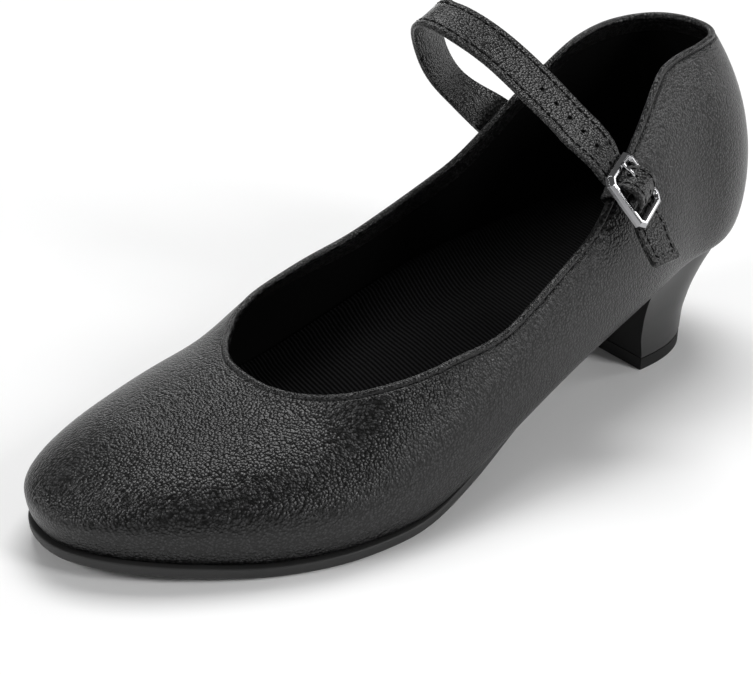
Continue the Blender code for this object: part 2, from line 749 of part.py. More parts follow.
def make_tab(finish):
    """The tab that carries the buckle: from inside the outer collar, over its edge, and round the pin."""
    half = TAB_THICKNESS / 2
    _, wide_way, _ = buckle_axes()
    edge_way = unit(wall_point(TAB_TURN - 0.01, 1.0, 1) - wall_point(TAB_TURN + 0.01, 1.0, 1))
    rows = []
    for place in TAB_INSIDE:
        rows.append((*off_skin(place, 1, -UPPER_WALL - 3 * CLEARANCE - half), *edge_way, 1.0))
    out = wall_normal(TAB_TURN, 1.0, 1)
    edge = wall_point(TAB_TURN, 1.0, 1) - out * UPPER_WALL / 2
    rows.append((*(edge + unit(np.cross(out, edge_way)) * (half + 5 * CLEARANCE)), *edge_way, 1.0))
    curl = PIN_RADIUS + 1.5 * CLEARANCE + half
    for angle in np.radians(np.arange(-80.0, 101.0, 20.0)):
        rows.append((*buckle_place(curl * math.cos(angle), curl * math.sin(angle)), *wide_way, 1.0))
    tab = ribbon("buckle_tab", np.array(rows), TAB_WIDTH, TAB_THICKNESS, TAB_STEPS, finish)
    run_way, _, out_way = buckle_axes()
    middle = buckle_place(0.0, 0.0)
    reach = PIN_RADIUS + TAB_THICKNESS + 6 * CLEARANCE
    ahead = TAB_SLOT_AHEAD * reach
    half_slot = PRONG_RADIUS + 1.5 * CLEARANCE
    corners = [
        middle + run_way * run + out_way * lift + wide_way * cross
        for cross in (-half_slot, half_slot)
        for run, lift in ((-ahead, -reach), (reach, -reach), (reach, reach), (-ahead, reach))
    ]
    faces = [(0, 1, 2, 3), (4, 5, 6, 7)] + [(k, (k + 1) % 4, 4 + (k + 1) % 4, 4 + k) for k in range(4)]
    slot = add_object("tab_slot", corners, faces, None)
    slot.hide_render = True
    slot.display_type = "WIRE"
    cut = tab.modifiers.new("slot", "BOOLEAN")
    cut.operation = "DIFFERENCE"
    cut.object = slot
    return tab


def main():
    """Clears the scene and builds every piece."""
    for old in list(bpy.data.objects):
        bpy.data.objects.remove(old)
    leather = material("black_leather", (0.022, 0.022, 0.023), 0.42)
    lining = material("black_lining", (0.008, 0.008, 0.008), 0.95)
    rubber = material("black_rubber", (0.015, 0.015, 0.015), 0.6)
    lacquer = material("black_heel", (0.025, 0.025, 0.026), 0.35)
    make_upper(leather)
    make_insole(lining)
    make_outsole(rubber)
    make_heel(lacquer)
    make_top_piece(rubber)
    make_strap(leather)
    metal = material("dark_nickel", (0.60, 0.60, 0.61), 0.18, 1.0)
    make_buckle_frame(metal)
    make_prong(metal)
    make_tab(leather)


main()
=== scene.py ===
"""A left character shoe, dressed for its picture.

A round-toed dance pump in black pebbled leather: a hollow lined upper with a folded collar edge, a
ribbed insole, a thin outsole, a curved block heel with its top piece, and a stitched instep strap that
is fastened in a bevelled buckle. Everything is in metres in the model's frame: +Z up, the toe along -Y,
the wearer's outer side +X, and the origin under the middle of the heel.
"""

import logging
import math
from collections.abc import Callable, Sequence
from dataclasses import dataclass, field
from enum import Enum
from typing import NamedTuple

import bmesh
import bpy
import numpy as np
from mathutils import Matrix, Vector
from mathutils.kdtree import KDTree


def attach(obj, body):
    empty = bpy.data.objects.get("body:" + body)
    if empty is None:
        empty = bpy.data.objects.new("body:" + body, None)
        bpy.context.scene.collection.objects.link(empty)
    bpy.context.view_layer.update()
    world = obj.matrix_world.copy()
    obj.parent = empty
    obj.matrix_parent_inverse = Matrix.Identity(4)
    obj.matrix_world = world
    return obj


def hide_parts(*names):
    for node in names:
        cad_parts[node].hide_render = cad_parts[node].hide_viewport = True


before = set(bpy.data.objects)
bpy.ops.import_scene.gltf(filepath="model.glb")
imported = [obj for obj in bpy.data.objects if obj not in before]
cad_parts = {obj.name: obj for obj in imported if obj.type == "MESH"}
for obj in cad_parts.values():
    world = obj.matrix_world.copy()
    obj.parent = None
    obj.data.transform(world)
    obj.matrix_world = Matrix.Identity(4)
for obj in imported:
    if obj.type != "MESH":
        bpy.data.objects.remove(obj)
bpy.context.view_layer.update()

LOG = logging.getLogger("character_shoe")
MM = 0.001
Points = np.ndarray


class Side(Enum):
    """The two sides of the shoe, by the sign of X."""

    OUTER = 1
    INNER = -1


class Section(NamedTuple):
    """One cross section of the last: along is a share of the length from the back. centre, inner, outer,
    tuck and sole_in are shares of the ball width, ridge and widest of the instep height, rise of the
    heel height, spring of the toe spring and sole of the sole's thickness."""

    along: float
    centre: float
    inner: float
    outer: float
    ridge: float
    widest: float
    tuck: float
    rise: float
    spring: float
    sole_in: float
    sole: float


class CollarPlace(NamedTuple):
    """One place on the collar: turn goes from the back (0) to the throat (1), along is a share of the
    length, around is the angle in degrees from the last's widest line (0) to its ridge (90), and inner
    is how much lower that angle is on the inner side."""

    turn: float
    along: float
    around: float
    inner: float


class HeelLevel(NamedTuple):
    """One level of the heel block: down is a share of its height from the seat, wide and long are
    shares of the seat's size, and set_in is how far its back stands in, as a share of its length."""

    down: float
    wide: float
    long: float
    set_in: float


class StrapPlace(NamedTuple):
    """A place on the strap's middle line, as shares of the ball width, the length and the instep
    height. The way across the strap leans outwards and rises by these for each unit to the heel."""

    across: float
    along: float
    height: float
    lean: float
    rise: float


class SkinPlace(NamedTuple):
    """A place on the last's skin: along is a share of the length, and around an angle in degrees."""

    along: float
    around: float


SECTIONS = (
    Section(0.00, 0.000, 0.358, 0.323, 0.980, 0.225, 0.057, 1.000, 0.00, 0.060, 0.6),
    Section(0.14, 0.000, 0.340, 0.325, 0.980, 0.206, 0.057, 0.940, 0.00, 0.062, 0.6),
    Section(0.24, 0.004, 0.335, 0.374, 0.950, 0.186, 0.062, 0.820, 0.00, 0.070, 0.6),
    Section(0.36, 0.008, 0.361, 0.419, 0.860, 0.154, 0.066, 0.624, 0.00, 0.076, 0.6),
    Section(0.48, 0.010, 0.415, 0.465, 0.740, 0.143, 0.055, 0.392, 0.00, 0.056, 0.8),
    Section(0.58, 0.008, 0.461, 0.503, 0.668, 0.131, 0.040, 0.170, 0.00, 0.024, 1.0),
    Section(0.66, 0.001, 0.486, 0.522, 0.600, 0.122, 0.034, 0.014, 0.00, 0.008, 1.0),
    Section(0.73, -0.006, 0.486, 0.509, 0.434, 0.112, 0.034, 0.000, 0.00, 0.003, 1.0),
    Section(0.81, -0.024, 0.456, 0.465, 0.370, 0.108, 0.034, 0.000, 0.00, 0.001, 1.0),
    Section(0.90, -0.050, 0.398, 0.402, 0.285, 0.101, 0.034, 0.000, 0.41, 0.001, 1.0),
    Section(1.00, -0.080, 0.349, 0.337, 0.189, 0.089, 0.034, 0.000, 1.00, 0.001, 1.0),
)

COLLAR = (
    CollarPlace(0.0, 0.000, 50.8, 0.0),
    CollarPlace(0.1, 0.022, 51.4, 1.0),
    CollarPlace(0.2, 0.088, 52.8, 3.2),
    CollarPlace(0.3, 0.177, 52.8, 3.2),
    CollarPlace(0.4, 0.277, 41.8, 0.0),
    CollarPlace(0.5, 0.384, 28.5, -1.5),
    CollarPlace(0.6, 0.495, 27.7, -1.5),
    CollarPlace(0.7, 0.590, 36.2, -0.5),
    CollarPlace(0.8, 0.684, 50.5, 0.0),
    CollarPlace(0.9, 0.741, 74.0, 0.0),
    CollarPlace(0.95, 0.749, 82.0, 0.0),
    CollarPlace(1.0, 0.751, 90.0, 0.0),
)

HEEL_LEVELS = (
    HeelLevel(0.00, 1.000, 1.000, 0.000),
    HeelLevel(0.12, 0.960, 0.945, 0.062),
    HeelLevel(0.30, 0.905, 0.856, 0.156),
    HeelLevel(0.55, 0.857, 0.753, 0.258),
    HeelLevel(0.80, 0.837, 0.683, 0.319),
    HeelLevel(1.00, 0.837, 0.650, 0.334),
)

LOOP = (
    StrapPlace(-0.422, 0.329, 1.047, -0.37, 0.10),
    StrapPlace(-0.436, 0.364, 1.217, -0.40, 0.13),
    StrapPlace(-0.378, 0.388, 1.354, -0.38, 0.18),
    StrapPlace(-0.284, 0.400, 1.411, -0.33, 0.25),
    StrapPlace(-0.198, 0.384, 1.376, -0.27, 0.30),
    StrapPlace(-0.102, 0.361, 1.300, -0.24, 0.31),
    StrapPlace(0.048, 0.347, 1.199, -0.24, 0.31),
    StrapPlace(0.219, 0.341, 1.100, -0.27, 0.27),
)
TAIL = (
    StrapPlace(0.486, 0.310, 0.778, -0.20, -0.15),
    StrapPlace(0.549, 0.311, 0.708, -0.155, -0.195),
)
SEWN = (
    SkinPlace(0.238, 9.0),
    SkinPlace(0.250, 15.5),
    SkinPlace(0.264, 21.0),
    SkinPlace(0.278, 26.0),
)
TAB_INSIDE = (
    SkinPlace(0.296, 24.0),
    SkinPlace(0.307, 27.8),
)
SMOOTHING = ((-0.030, 0.12), (-0.015, 0.23), (0.0, 0.30), (0.015, 0.23), (0.030, 0.12))


def unit(vector: Points) -> Points:
    """A vector, or each row of vectors, at length one."""
    vector = np.asarray(vector, float)
    return vector / np.maximum(np.linalg.norm(vector, axis=-1, keepdims=True), 1e-12)


def soft_step(value: Points, low: float, high: float) -> Points:
    """A smooth step from 0 at low to 1 at high."""
    share = np.clip((np.asarray(value, float) - low) / (high - low), 0.0, 1.0)
    return share * share * (3.0 - 2.0 * share)


def bump_at(value: Points, centre: float, width: float) -> Points:
    """A soft ridge of height one round a value."""
    return np.exp(-(((np.asarray(value, float) - centre) / width) ** 2))


def table_curve(rows: Sequence[NamedTuple], key: str, name: str, at: Points) -> Points:
    """Reads a column of a table on a smooth curve that never overshoots its rows.

    Args:
        rows: the table.
        key: the column that holds the places of the rows.
        name: the column that is read.
        at: the places to read it at.

    Returns:
        The column's values there.
    """
    x = np.array([getattr(row, key) for row in rows], float)
    y = np.array([getattr(row, name) for row in rows], float)
    at = np.clip(np.asarray(at, float), x[0], x[-1])
    step = np.diff(x)
    slope = np.diff(y) / step
    turn = np.zeros(len(x))
    same_way = slope[:-1] * slope[1:] > 0
    before, after = 2 * step[1:] + step[:-1], step[1:] + 2 * step[:-1]
    safe = np.where(same_way, slope[:-1] * slope[1:], 1.0)
    mean = (before + after) * safe / (before * slope[1:] + after * slope[:-1] + 1e-30 * ~same_way)
    turn[1:-1] = np.where(same_way, mean, 0.0)
    turn[0], turn[-1] = slope[0], slope[-1]
    i = np.clip(np.searchsorted(x, at, side="right") - 1, 0, len(step) - 1)
    t = (at - x[i]) / step[i]
    return (
        (2 * t**3 - 3 * t**2 + 1) * y[i]
        + (t**3 - 2 * t**2 + t) * step[i] * turn[i]
        + (3 * t**2 - 2 * t**3) * y[i + 1]
        + (t**3 - t**2) * step[i] * turn[i + 1]
    )


def closing(share: Points, squareness: float) -> Points:
    """How far an outline is still open: 1 before it starts to close, then round down to 0."""
    return (1.0 - np.clip(share, 0.0, 1.0) ** squareness) ** (1.0 / squareness)


def curve_through(points: Points, at: Points) -> Points:
    """Reads a natural cubic curve through rows of points.

    Args:
        points: the rows. The first three columns set the distance between them.
        at: shares of the way, from 0 at the first row to 1 at the last.

    Returns:
        One row for each share.
    """
    points = np.asarray(points, float)
    knots = np.concatenate([[0.0], np.cumsum(np.linalg.norm(np.diff(points[:, :3], axis=0), axis=1))])
    knots /= knots[-1]
    gaps = np.diff(knots)
    size = len(knots)
    system = np.eye(size)
    target = np.zeros_like(points)
    slopes = np.diff(points, axis=0) / gaps[:, None]
    for k in range(1, size - 1):
        system[k, k - 1 : k + 2] = gaps[k - 1], 2 * (gaps[k - 1] + gaps[k]), gaps[k]
        target[k] = 6 * (slopes[k] - slopes[k - 1])
    bends = np.linalg.solve(system, target)
    i = np.clip(np.searchsorted(knots, at, side="right") - 1, 0, size - 2)
    a = ((knots[i + 1] - at) / gaps[i])[:, None]
    b = 1.0 - a
    h = gaps[i][:, None]
    bent = ((a**3 - a) * bends[i] + (b**3 - b) * bends[i + 1]) * h**2 / 6
    return a * points[i] + b * points[i + 1] + bent


def lengths_along(points: Points) -> Points:
    """Distance along a row of points, from the first."""
    return np.concatenate([[0.0], np.cumsum(np.linalg.norm(np.diff(points, axis=0), axis=1))])


@dataclass(frozen=True)
class Last:
    """The form that the shoe is built round, with its driving sizes in metres."""

    length: float = 0.246
    ball_width: float = 0.0910
    instep_height: float = 0.0805
    heel_height: float = 0.0343
    toe_spring: float = 0.0047
    back_overhang: float = 0.0365
    back_curve: float = 0.0085
    back_curve_at: float = 0.3
    sole_thickness: float = 0.0040
    clearance: float = 0.0003
    straight_from: float = 0.45
    straight_to: float = 0.75
    heel_closes: float = 0.13
    heel_square: float = 2.1
    toe_closes: float = 0.74
    toe_square: float = 2.3
    toe_drops: float = 0.87
    half_turns: int = 120

    def section(self, name: str, along: Points) -> Points:
        """Reads a column of the sections, evened out over a few millimetres.

        Args:
            name: the column.
            along: shares along the last, from the back.

        Returns:
            The column's values there.
        """
        along = np.asarray(along, float)
        near = [weight * table_curve(SECTIONS, "along", name, along + shift) for shift, weight in SMOOTHING]
        return sum(near)

    def half_width(self, along: Points, side: Points) -> Points:
        """The last's half width at its widest line.

        Args:
            along: shares along the last.
            side: +1 on the outer side and -1 on the inner side.

        Returns:
            The half widths in metres, which close to nothing at the back and at the toe.
        """
        shares = np.where(side > 0, self.section("outer", along), self.section("inner", along))
        heel = closing((self.heel_closes - along) / self.heel_closes, self.heel_square)
        toe = closing((along - self.toe_closes) / (1.0 - self.toe_closes), self.toe_square)
        return shares * self.ball_width * heel * toe

    def feather_height(self, along: Points) -> Points:
        """Height of the upper's underside over the floor.

        Args:
            along: shares along the last.

        Returns:
            The heights in metres.
        """
        return (
            self.sole_thickness
            + self.clearance
            + self.heel_height * self.section("rise", along)
            + self.toe_spring * self.section("spring", along)
        )

    def along_of(self, y: Points) -> Points:
        """Share along the last of a place in the model's frame."""
        return (self.back_overhang - np.asarray(y, float)) / self.length

    def point(self, along: Points, around: Points, side: Points) -> Points:
        """A point of the skin above the widest line.

        Args:
            along: shares along the last.
            around: angles over the last in radians, from the widest line (0) to the ridge.
            side: +1 on the outer side and -1 on the inner side.

        Returns:
            The points, with X, Y and Z last.
        """
        x = self.section("centre", along) * self.ball_width
        x = x + side * self.half_width(along, side) * np.cos(around)
        drop = closing((along - self.toe_drops) / (1.0 - self.toe_drops), self.toe_square)
        widest = self.section("widest", along) * self.instep_height
        over = (self.section("ridge", along) * self.instep_height - widest) * drop * np.sin(around)
        fade = np.clip(1.0 - along / (3 * self.heel_closes), 0.0, 1.0) ** 2
        y = self.back_overhang - along * self.length
        y = y - self.back_curve * fade * np.sin(around) ** 2 / self.back_curve_at
        return np.stack([x, y, self.feather_height(along) + widest + over], axis=-1)

    def wall(self, turn: Points, up: Points, side: Points) -> Points:
        """A point of the upper's outer skin.

        Args:
            turn: place round the shoe, from the back (0) to the toe (1).
            up: place up the wall, from the widest line (0) to the collar's edge (1).
            side: +1 on the outer side and -1 on the inner side.

        Returns:
            The points, with X, Y and Z last.
        """
        turn, up, side = np.broadcast_arrays(*(np.asarray(v, float) for v in (turn, up, side)))
        foot = (1.0 - np.cos(np.pi * turn)) / 2.0
        top = table_curve(COLLAR, "turn", "along", turn)
        lower = np.where(side < 0, table_curve(COLLAR, "turn", "inner", turn), 0.0)
        end = np.radians(table_curve(COLLAR, "turn", "around", turn) - lower)
        eased = (1.0 - np.cos(up * end)) / (1.0 - np.cos(end))
        along = foot + (top - foot) * eased
        centre = self.section("centre", along) * self.ball_width
        foot_x = self.section("centre", foot) * self.ball_width + side * self.half_width(foot, side)
        top_x = self.point(top, end, side)[..., 0]
        plan = foot_x + (top_x - foot_x) * eased - centre
        share = side * plan / np.maximum(self.half_width(along, side), 1e-9)
        straight = np.arccos(np.clip(share, 0.0, 1.0))
        blend = soft_step(turn, self.straight_from, self.straight_to)
        around = np.where(up > 0, up * end + (straight - up * end) * blend, 0.0)
        return self.point(along, around, side)

    def loop(self) -> tuple[Points, Points]:
        """Goes once round the shoe: the back, the outer side, the toe and the inner side.

        Returns:
            The turn and the side of each point.
        """
        half = np.arange(self.half_turns + 1) / self.half_turns
        turn = np.concatenate([half, half[-2:0:-1]])
        side = np.concatenate([np.ones(self.half_turns + 1), -np.ones(self.half_turns - 1)])
        return turn, side

    def loop_section(self, name: str) -> Points:
        """A column of the sections at each point of the loop."""
        turn, _ = self.loop()
        return self.section(name, (1.0 - np.cos(np.pi * turn)) / 2.0)

    def inset_loop(self, inset: Points) -> Points:
        """The widest line, moved inwards in plan.

        Args:
            inset: how far, as one distance or one for each point.

        Returns:
            The loop's points.
        """
        turn, side = self.loop()
        points = self.wall(turn, 0.0, side)
        run = np.roll(points, -1, axis=0) - np.roll(points, 1, axis=0)
        out = unit(np.stack([-run[:, 1], run[:, 0], np.zeros(len(run))], axis=-1))
        return points - out * np.asarray(inset).reshape(-1, 1)

    def tucked_ring(self, quarter: float, inset: float = 0.0) -> Points:
        """A ring of the skin below the widest line.

        Args:
            quarter: how far down it lies, from the widest line (0) to the feather edge (1).
            inset: how far it is moved inwards, in metres.

        Returns:
            The ring's points.
        """
        tuck = self.loop_section("tuck") * self.ball_width * (1.0 - math.cos(quarter * math.pi / 2))
        ring = self.inset_loop(tuck + inset)
        widest = self.loop_section("widest") * self.instep_height
        lift = widest * (1.0 - math.sin(quarter * math.pi / 2))
        ring[:, 2] = self.feather_height(self.along_of(ring[:, 1])) + lift
        return ring

    def two_sides(self, loop: Points) -> tuple[Points, Points]:
        """The outer and the inner side of a closed loop, from the back to the toe."""
        count = self.half_turns + 1
        return loop[:count], np.roll(loop[::-1], 1, axis=0)[:count]

    def off_skin(self, place: SkinPlace, side: int, distance: float) -> Points:
        """A point off the skin.

        Args:
            place: the place on the skin.
            side: +1 on the outer side and -1 on the inner side.
            distance: how far outside the skin, in metres, or inside if it is negative.

        Returns:
            The point.
        """
        step = 0.005
        along, around = place.along, math.radians(place.around)
        forward = self.point(along + step, around, side) - self.point(along - step, around, side)
        rise = self.point(along, around + step, side) - self.point(along, around - step, side)
        return self.point(along, around, side) + unit(side * np.cross(rise, forward)) * distance

    def place(self, across: float, along: float, height: float) -> Points:
        """A place given as shares of the ball width, the length and the instep height."""
        y = self.back_overhang - along * self.length
        return np.array([across * self.ball_width, y, height * self.instep_height])


def grid_normals(grid: Points) -> Points:
    """Outward normals of a grid of closed rings that runs upwards.

    Args:
        grid: the rings, as rows of points.

    Returns:
        One normal for each point.
    """
    run = np.roll(grid, -1, axis=1) - np.roll(grid, 1, axis=1)
    rise = np.gradient(grid, axis=0)
    return unit(np.cross(rise, run))


def ring_faces(rings: int, count: int, closed: bool = True) -> list[tuple[int, ...]]:
    """Quads between rings of count points each, stacked in order.

    Args:
        rings: how many rings there are.
        count: how many points each has.
        closed: whether the last ring joins the first.

    Returns:
        The faces, as indices of the points in order.
    """
    last = rings if closed else rings - 1
    faces = []
    for ring in range(last):
        low, high = ring * count, (ring + 1) % rings * count
        faces += [(low + k, high + k, high + (k + 1) % count, low + (k + 1) % count) for k in range(count)]
    return faces


def make_object(
    name: str,
    vertices: Points,
    faces: Sequence[tuple[int, ...]],
    materials: Sequence[bpy.types.Material],
    material_of: Sequence[int] | None = None,
    sharp: float = 45.0,
) -> bpy.types.Object:
    """Makes a mesh object, shaded smooth, with its doubles merged and its faces turned out.

    Args:
        name: the object's name.
        vertices: its points.
        faces: its faces, as indices of the points.
        materials: the finishes that its faces use.
        material_of: which of them each face uses, or the first for all.
        sharp: the angle in degrees from which an edge is drawn sharp.

    Returns:
        The object, linked to the scene.
    """
    mesh = bpy.data.meshes.new(name)
    mesh.from_pydata(np.asarray(vertices, float).tolist(), [], list(faces))
    for finish in materials:
        mesh.materials.append(finish)
    if material_of is not None:
        mesh.polygons.foreach_set("material_index", list(material_of))
    work = bmesh.new()
    work.from_mesh(mesh)
    bmesh.ops.remove_doubles(work, verts=work.verts, dist=1e-6)
    bmesh.ops.dissolve_degenerate(work, edges=work.edges, dist=1e-7)
    bmesh.ops.recalc_face_normals(work, faces=work.faces)
    work.to_mesh(mesh)
    work.free()
    mesh.shade_smooth()
    mesh.set_sharp_from_angle(angle=math.radians(sharp))
    made = bpy.data.objects.new(name, mesh)
    bpy.context.scene.collection.objects.link(made)
    return made


def apply_modifiers(piece: bpy.types.Object, sharp: float | None = None) -> bpy.types.Object:
    """Turns a piece with modifiers into a plain mesh.

    Args:
        piece: the piece.
        sharp: the angle in degrees from which its edges are drawn sharp, if they are found anew.

    Returns:
        The same piece.
    """
    graph = bpy.context.evaluated_depsgraph_get()
    mesh = bpy.data.meshes.new_from_object(piece.evaluated_get(graph))
    piece.modifiers.clear()
    piece.data = mesh
    if sharp is not None:
        mesh.set_sharp_from_angle(angle=math.radians(sharp))
    return piece


class Band(NamedTuple):
    """A strip's middle line: its points, the ways across it and out of it, and its half width."""

    points: Points
    ways: Points
    out: Points
    half: Points

    def sweep(self, profile: Sequence[tuple[int, float, float]]) -> tuple[Points, list[tuple[int, ...]]]:
        """A closed strip.

        Args:
            profile: its section, as a side (+1, -1 or 0 for the middle), a distance from that edge and
                a lift off the middle line for each point.

        Returns:
            Its vertices and faces.
        """
        rings = []
        for sign, inset, lift in profile:
            reach = sign * (self.half + inset)
            rings.append(self.points + self.ways * reach[:, None] + self.out * lift)
        vertices = np.stack(rings, axis=1)
        steps, count = vertices.shape[:2]
        faces = ring_faces(steps, count, closed=False)
        faces.append(tuple(range(count)))
        faces.append(tuple((steps - 1) * count + k for k in range(count)))
        return vertices.reshape(-1, 3), faces


def band_through(rows: Points, steps: int, half: float) -> Band:
    """Runs a strip through rows.

    Args:
        rows: for each place its point, its way across and its share of the half width.
        steps: how many points the strip has along its length.
        half: its half width in metres.

    Returns:
        The strip.
    """
    line = curve_through(rows, np.linspace(0.0, 1.0, steps))
    points, ways = line[:, :3], line[:, 3:6]
    run = unit(np.gradient(points, axis=0))
    ways = unit(ways - run * np.sum(ways * run, axis=1)[:, None])
    return Band(points, ways, np.cross(run, ways), np.minimum(line[:, 6], 1.0) * half)


def settle(piece: bpy.types.Object, nodes: Sequence[str] = ()) -> bpy.types.Object:
    """Puts a finished piece on the shoe's body and reports it.

    Args:
        piece: the finished object.
        nodes: the model's nodes that it stands for.

    Returns:
        The same object.
    """
    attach(piece, "root")
    if nodes:
        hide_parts(*nodes)
    LOG.info("%s: %d faces, stands for %s", piece.name, len(piece.data.polygons), ", ".join(nodes) or "trim")
    return piece


def grey(value: float) -> tuple[float, float, float]:
    """A neutral colour of one value."""
    return (value, value, value)


class Wiring:
    """The node tree of one material while it is wired."""

    def __init__(self, name: str) -> None:
        """Starts a material with its Principled shader.

        Args:
            name: the material's name.
        """
        self.material = bpy.data.materials.new(name)
        self.material.use_nodes = True
        self.tree = self.material.node_tree
        self.shader = self.tree.nodes["Principled BSDF"]
        coordinates = self.tree.nodes.new("ShaderNodeTexCoord")
        self.place = coordinates.outputs["Object"]

    def add(self, kind: str, inputs: dict[str, object] | None = None, **settings: object) -> bpy.types.Node:
        """Adds a node.

        Args:
            kind: the node's type.
            inputs: sockets or values for its inputs, by name.
            settings: its own properties.

        Returns:
            The node.
        """
        node = self.tree.nodes.new(kind)
        for key, value in settings.items():
            setattr(node, key, value)
        for key, value in (inputs or {}).items():
            self.feed(node.inputs[key], value)
        return node

    def feed(self, socket: bpy.types.NodeSocket, value: object) -> None:
        """Links a socket into an input, or sets the input's value.

        Args:
            socket: the input.
            value: the socket or the value.
        """
        if isinstance(value, bpy.types.NodeSocket):
            self.tree.links.new(value, socket)
        else:
            socket.default_value = value

    def math(self, operation: str, a: object, b: object = 0.0) -> bpy.types.NodeSocket:
        """Adds a Math node.

        Args:
            operation: what it does.
            a: its first socket or value.
            b: its second one.

        Returns:
            Its result.
        """
        node = self.add("ShaderNodeMath", operation=operation)
        self.feed(node.inputs[0], a)
        self.feed(node.inputs[1], b)
        return node.outputs[0]

    def noise(self, scale: float, detail: float = 2.0, roughness: float = 0.5) -> bpy.types.NodeSocket:
        """Smooth noise on the object's own coordinates."""
        inputs = {"Vector": self.place, "Scale": scale, "Detail": detail, "Roughness": roughness}
        return self.add("ShaderNodeTexNoise", inputs).outputs["Fac"]

    def between(self, share: object, low: float, high: float) -> bpy.types.NodeSocket:
        """A share from 0 to 1, spread over a range."""
        inputs = {"Value": share, "To Min": low, "To Max": high}
        return self.add("ShaderNodeMapRange", inputs).outputs["Result"]

    def tint(self, share: object, dark: Sequence[float], light: Sequence[float]) -> bpy.types.NodeSocket:
        """Adds a mix of two colours.

        Args:
            share: how much of the light one there is, from 0 to 1.
            dark: the dark colour.
            light: the light colour.

        Returns:
            The mixed colour.
        """
        node = self.add("ShaderNodeMix", data_type="RGBA")
        self.feed(node.inputs["Factor"], share)
        node.inputs["A"].default_value = (*dark, 1.0)
        node.inputs["B"].default_value = (*light, 1.0)
        return node.outputs["Result"]

    def bump(
        self, height: object, strength: float, distance: float, under: object = None
    ) -> bpy.types.NodeSocket:
        """Adds a bump.

        Args:
            height: the pattern of its height, from 0 to 1.
            strength: its share of the full effect.
            distance: the height of the pattern's 1, in metres.
            under: the normal of the bump that it lies over.

        Returns:
            The bumped normal.
        """
        inputs = {"Height": height, "Strength": strength, "Distance": distance}
        if under is not None:
            inputs["Normal"] = under
        return self.add("ShaderNodeBump", inputs).outputs["Normal"]

    def finish(
        self, colour: object, roughness: object, normal: object = None, **constants: float
    ) -> bpy.types.Material:
        """Feeds the shader.

        Args:
            colour: the base colour.
            roughness: the roughness.
            normal: the bumped normal, if there is one.
            constants: values of other inputs, with underscores for the spaces of their names.

        Returns:
            The finished material.
        """
        self.feed(self.shader.inputs["Base Color"], colour)
        self.feed(self.shader.inputs["Roughness"], roughness)
        if normal is not None:
            self.feed(self.shader.inputs["Normal"], normal)
        for key, value in constants.items():
            self.shader.inputs[key.replace("_", " ")].default_value = value
        return self.material


@dataclass(frozen=True)
class PebbledLeather:
    """Black leather with a fine pebble grain and a soft sheen."""

    name: str = "black_leather"
    # dark is the painted shade in the pits between the pebbles, light the painted highlight on their tops
    dark: tuple[float, float, float] = (0.0, 0.0, 0.0)
    light: tuple[float, float, float] = (0.030, 0.030, 0.031)
    pebble: float = 0.76 * MM
    depth: float = 0.27 * MM
    roughness: tuple[float, float] = (0.25, 0.36)
    # the heights over which the colour goes from painted shade in the pits to painted highlight on the
    # pebble tops
    painted_shading_range: tuple[float, float] = (0.40, 0.74)
    specular: float = 0.38
    waviness: float = 0.4 * MM
    back_seam: bool = False
    seam_half: float = 0.5 * MM
    seam_depth: float = 0.3 * MM

    def material(self) -> bpy.types.Material:
        """Wires the leather: warped round pebbles over broad soft waves, with painted shade in the pits
        between them.

        Returns:
            The material.
        """
        w = Wiring(self.name)
        warp = w.add("ShaderNodeVectorMath", operation="MULTIPLY_ADD")
        noise = w.add("ShaderNodeTexNoise", {"Vector": w.place, "Scale": 0.35 / self.pebble, "Detail": 1.0})
        w.feed(warp.inputs[0], noise.outputs["Color"])
        warp.inputs[1].default_value = (self.pebble, self.pebble, self.pebble)
        w.feed(warp.inputs[2], w.place)
        inputs = {"Vector": warp.outputs[0], "Scale": 1.0 / self.pebble}
        cells = w.add("ShaderNodeTexVoronoi", inputs, feature="F1")
        fine = w.noise(1.6 / self.pebble, 2.0, 0.6)
        broad = w.noise(55.0, 3.0, 0.55)
        pebbles = w.math("SUBTRACT", 1.0, w.math("MULTIPLY", cells.outputs["Distance"], 1.15))
        height = w.math("ADD", w.math("MULTIPLY", pebbles, 0.74), w.math("MULTIPLY", fine, 0.24))
        soft = w.bump(broad, 0.3, self.waviness)
        normal = w.bump(height, 1.0, self.depth, soft)
        if self.back_seam:
            normal = self._seam(w, normal)
        # painted shade and highlight: pits are coloured dark and pebble tops light, with a little random
        # tone from the fine noise
        low, high = self.painted_shading_range
        painted_shading = w.add("ShaderNodeMapRange", {"Value": height, "From Min": low, "From Max": high})
        colour = w.tint(painted_shading.outputs["Result"], self.dark, self.light)
        wear = w.math("ADD", w.math("MULTIPLY", broad, 0.7), w.math("MULTIPLY", fine, 0.3))
        rough = w.between(wear, *self.roughness)
        return w.finish(colour, rough, normal, Specular_IOR_Level=self.specular)

    def _seam(self, w: Wiring, under: bpy.types.NodeSocket) -> bpy.types.NodeSocket:
        """Presses a fine upright seam in at the middle of the back.

        Args:
            w: the wiring of the leather.
            under: the normal of the leather without the seam.

        Returns:
            The normal with the seam.
        """
        parts = w.add("ShaderNodeSeparateXYZ", {"Vector": w.place})
        off = w.math("ABSOLUTE", parts.outputs["X"])
        away = w.add("ShaderNodeMapRange", {"Value": off, "From Max": self.seam_half})
        line = w.math("SUBTRACT", 1.0, away.outputs["Result"])
        behind = w.math("GREATER_THAN", parts.outputs["Y"], 0.0)
        depth = w.math("MULTIPLY", w.math("MULTIPLY", line, behind), -1.0)
        return w.bump(depth, 0.8, self.seam_depth, under)


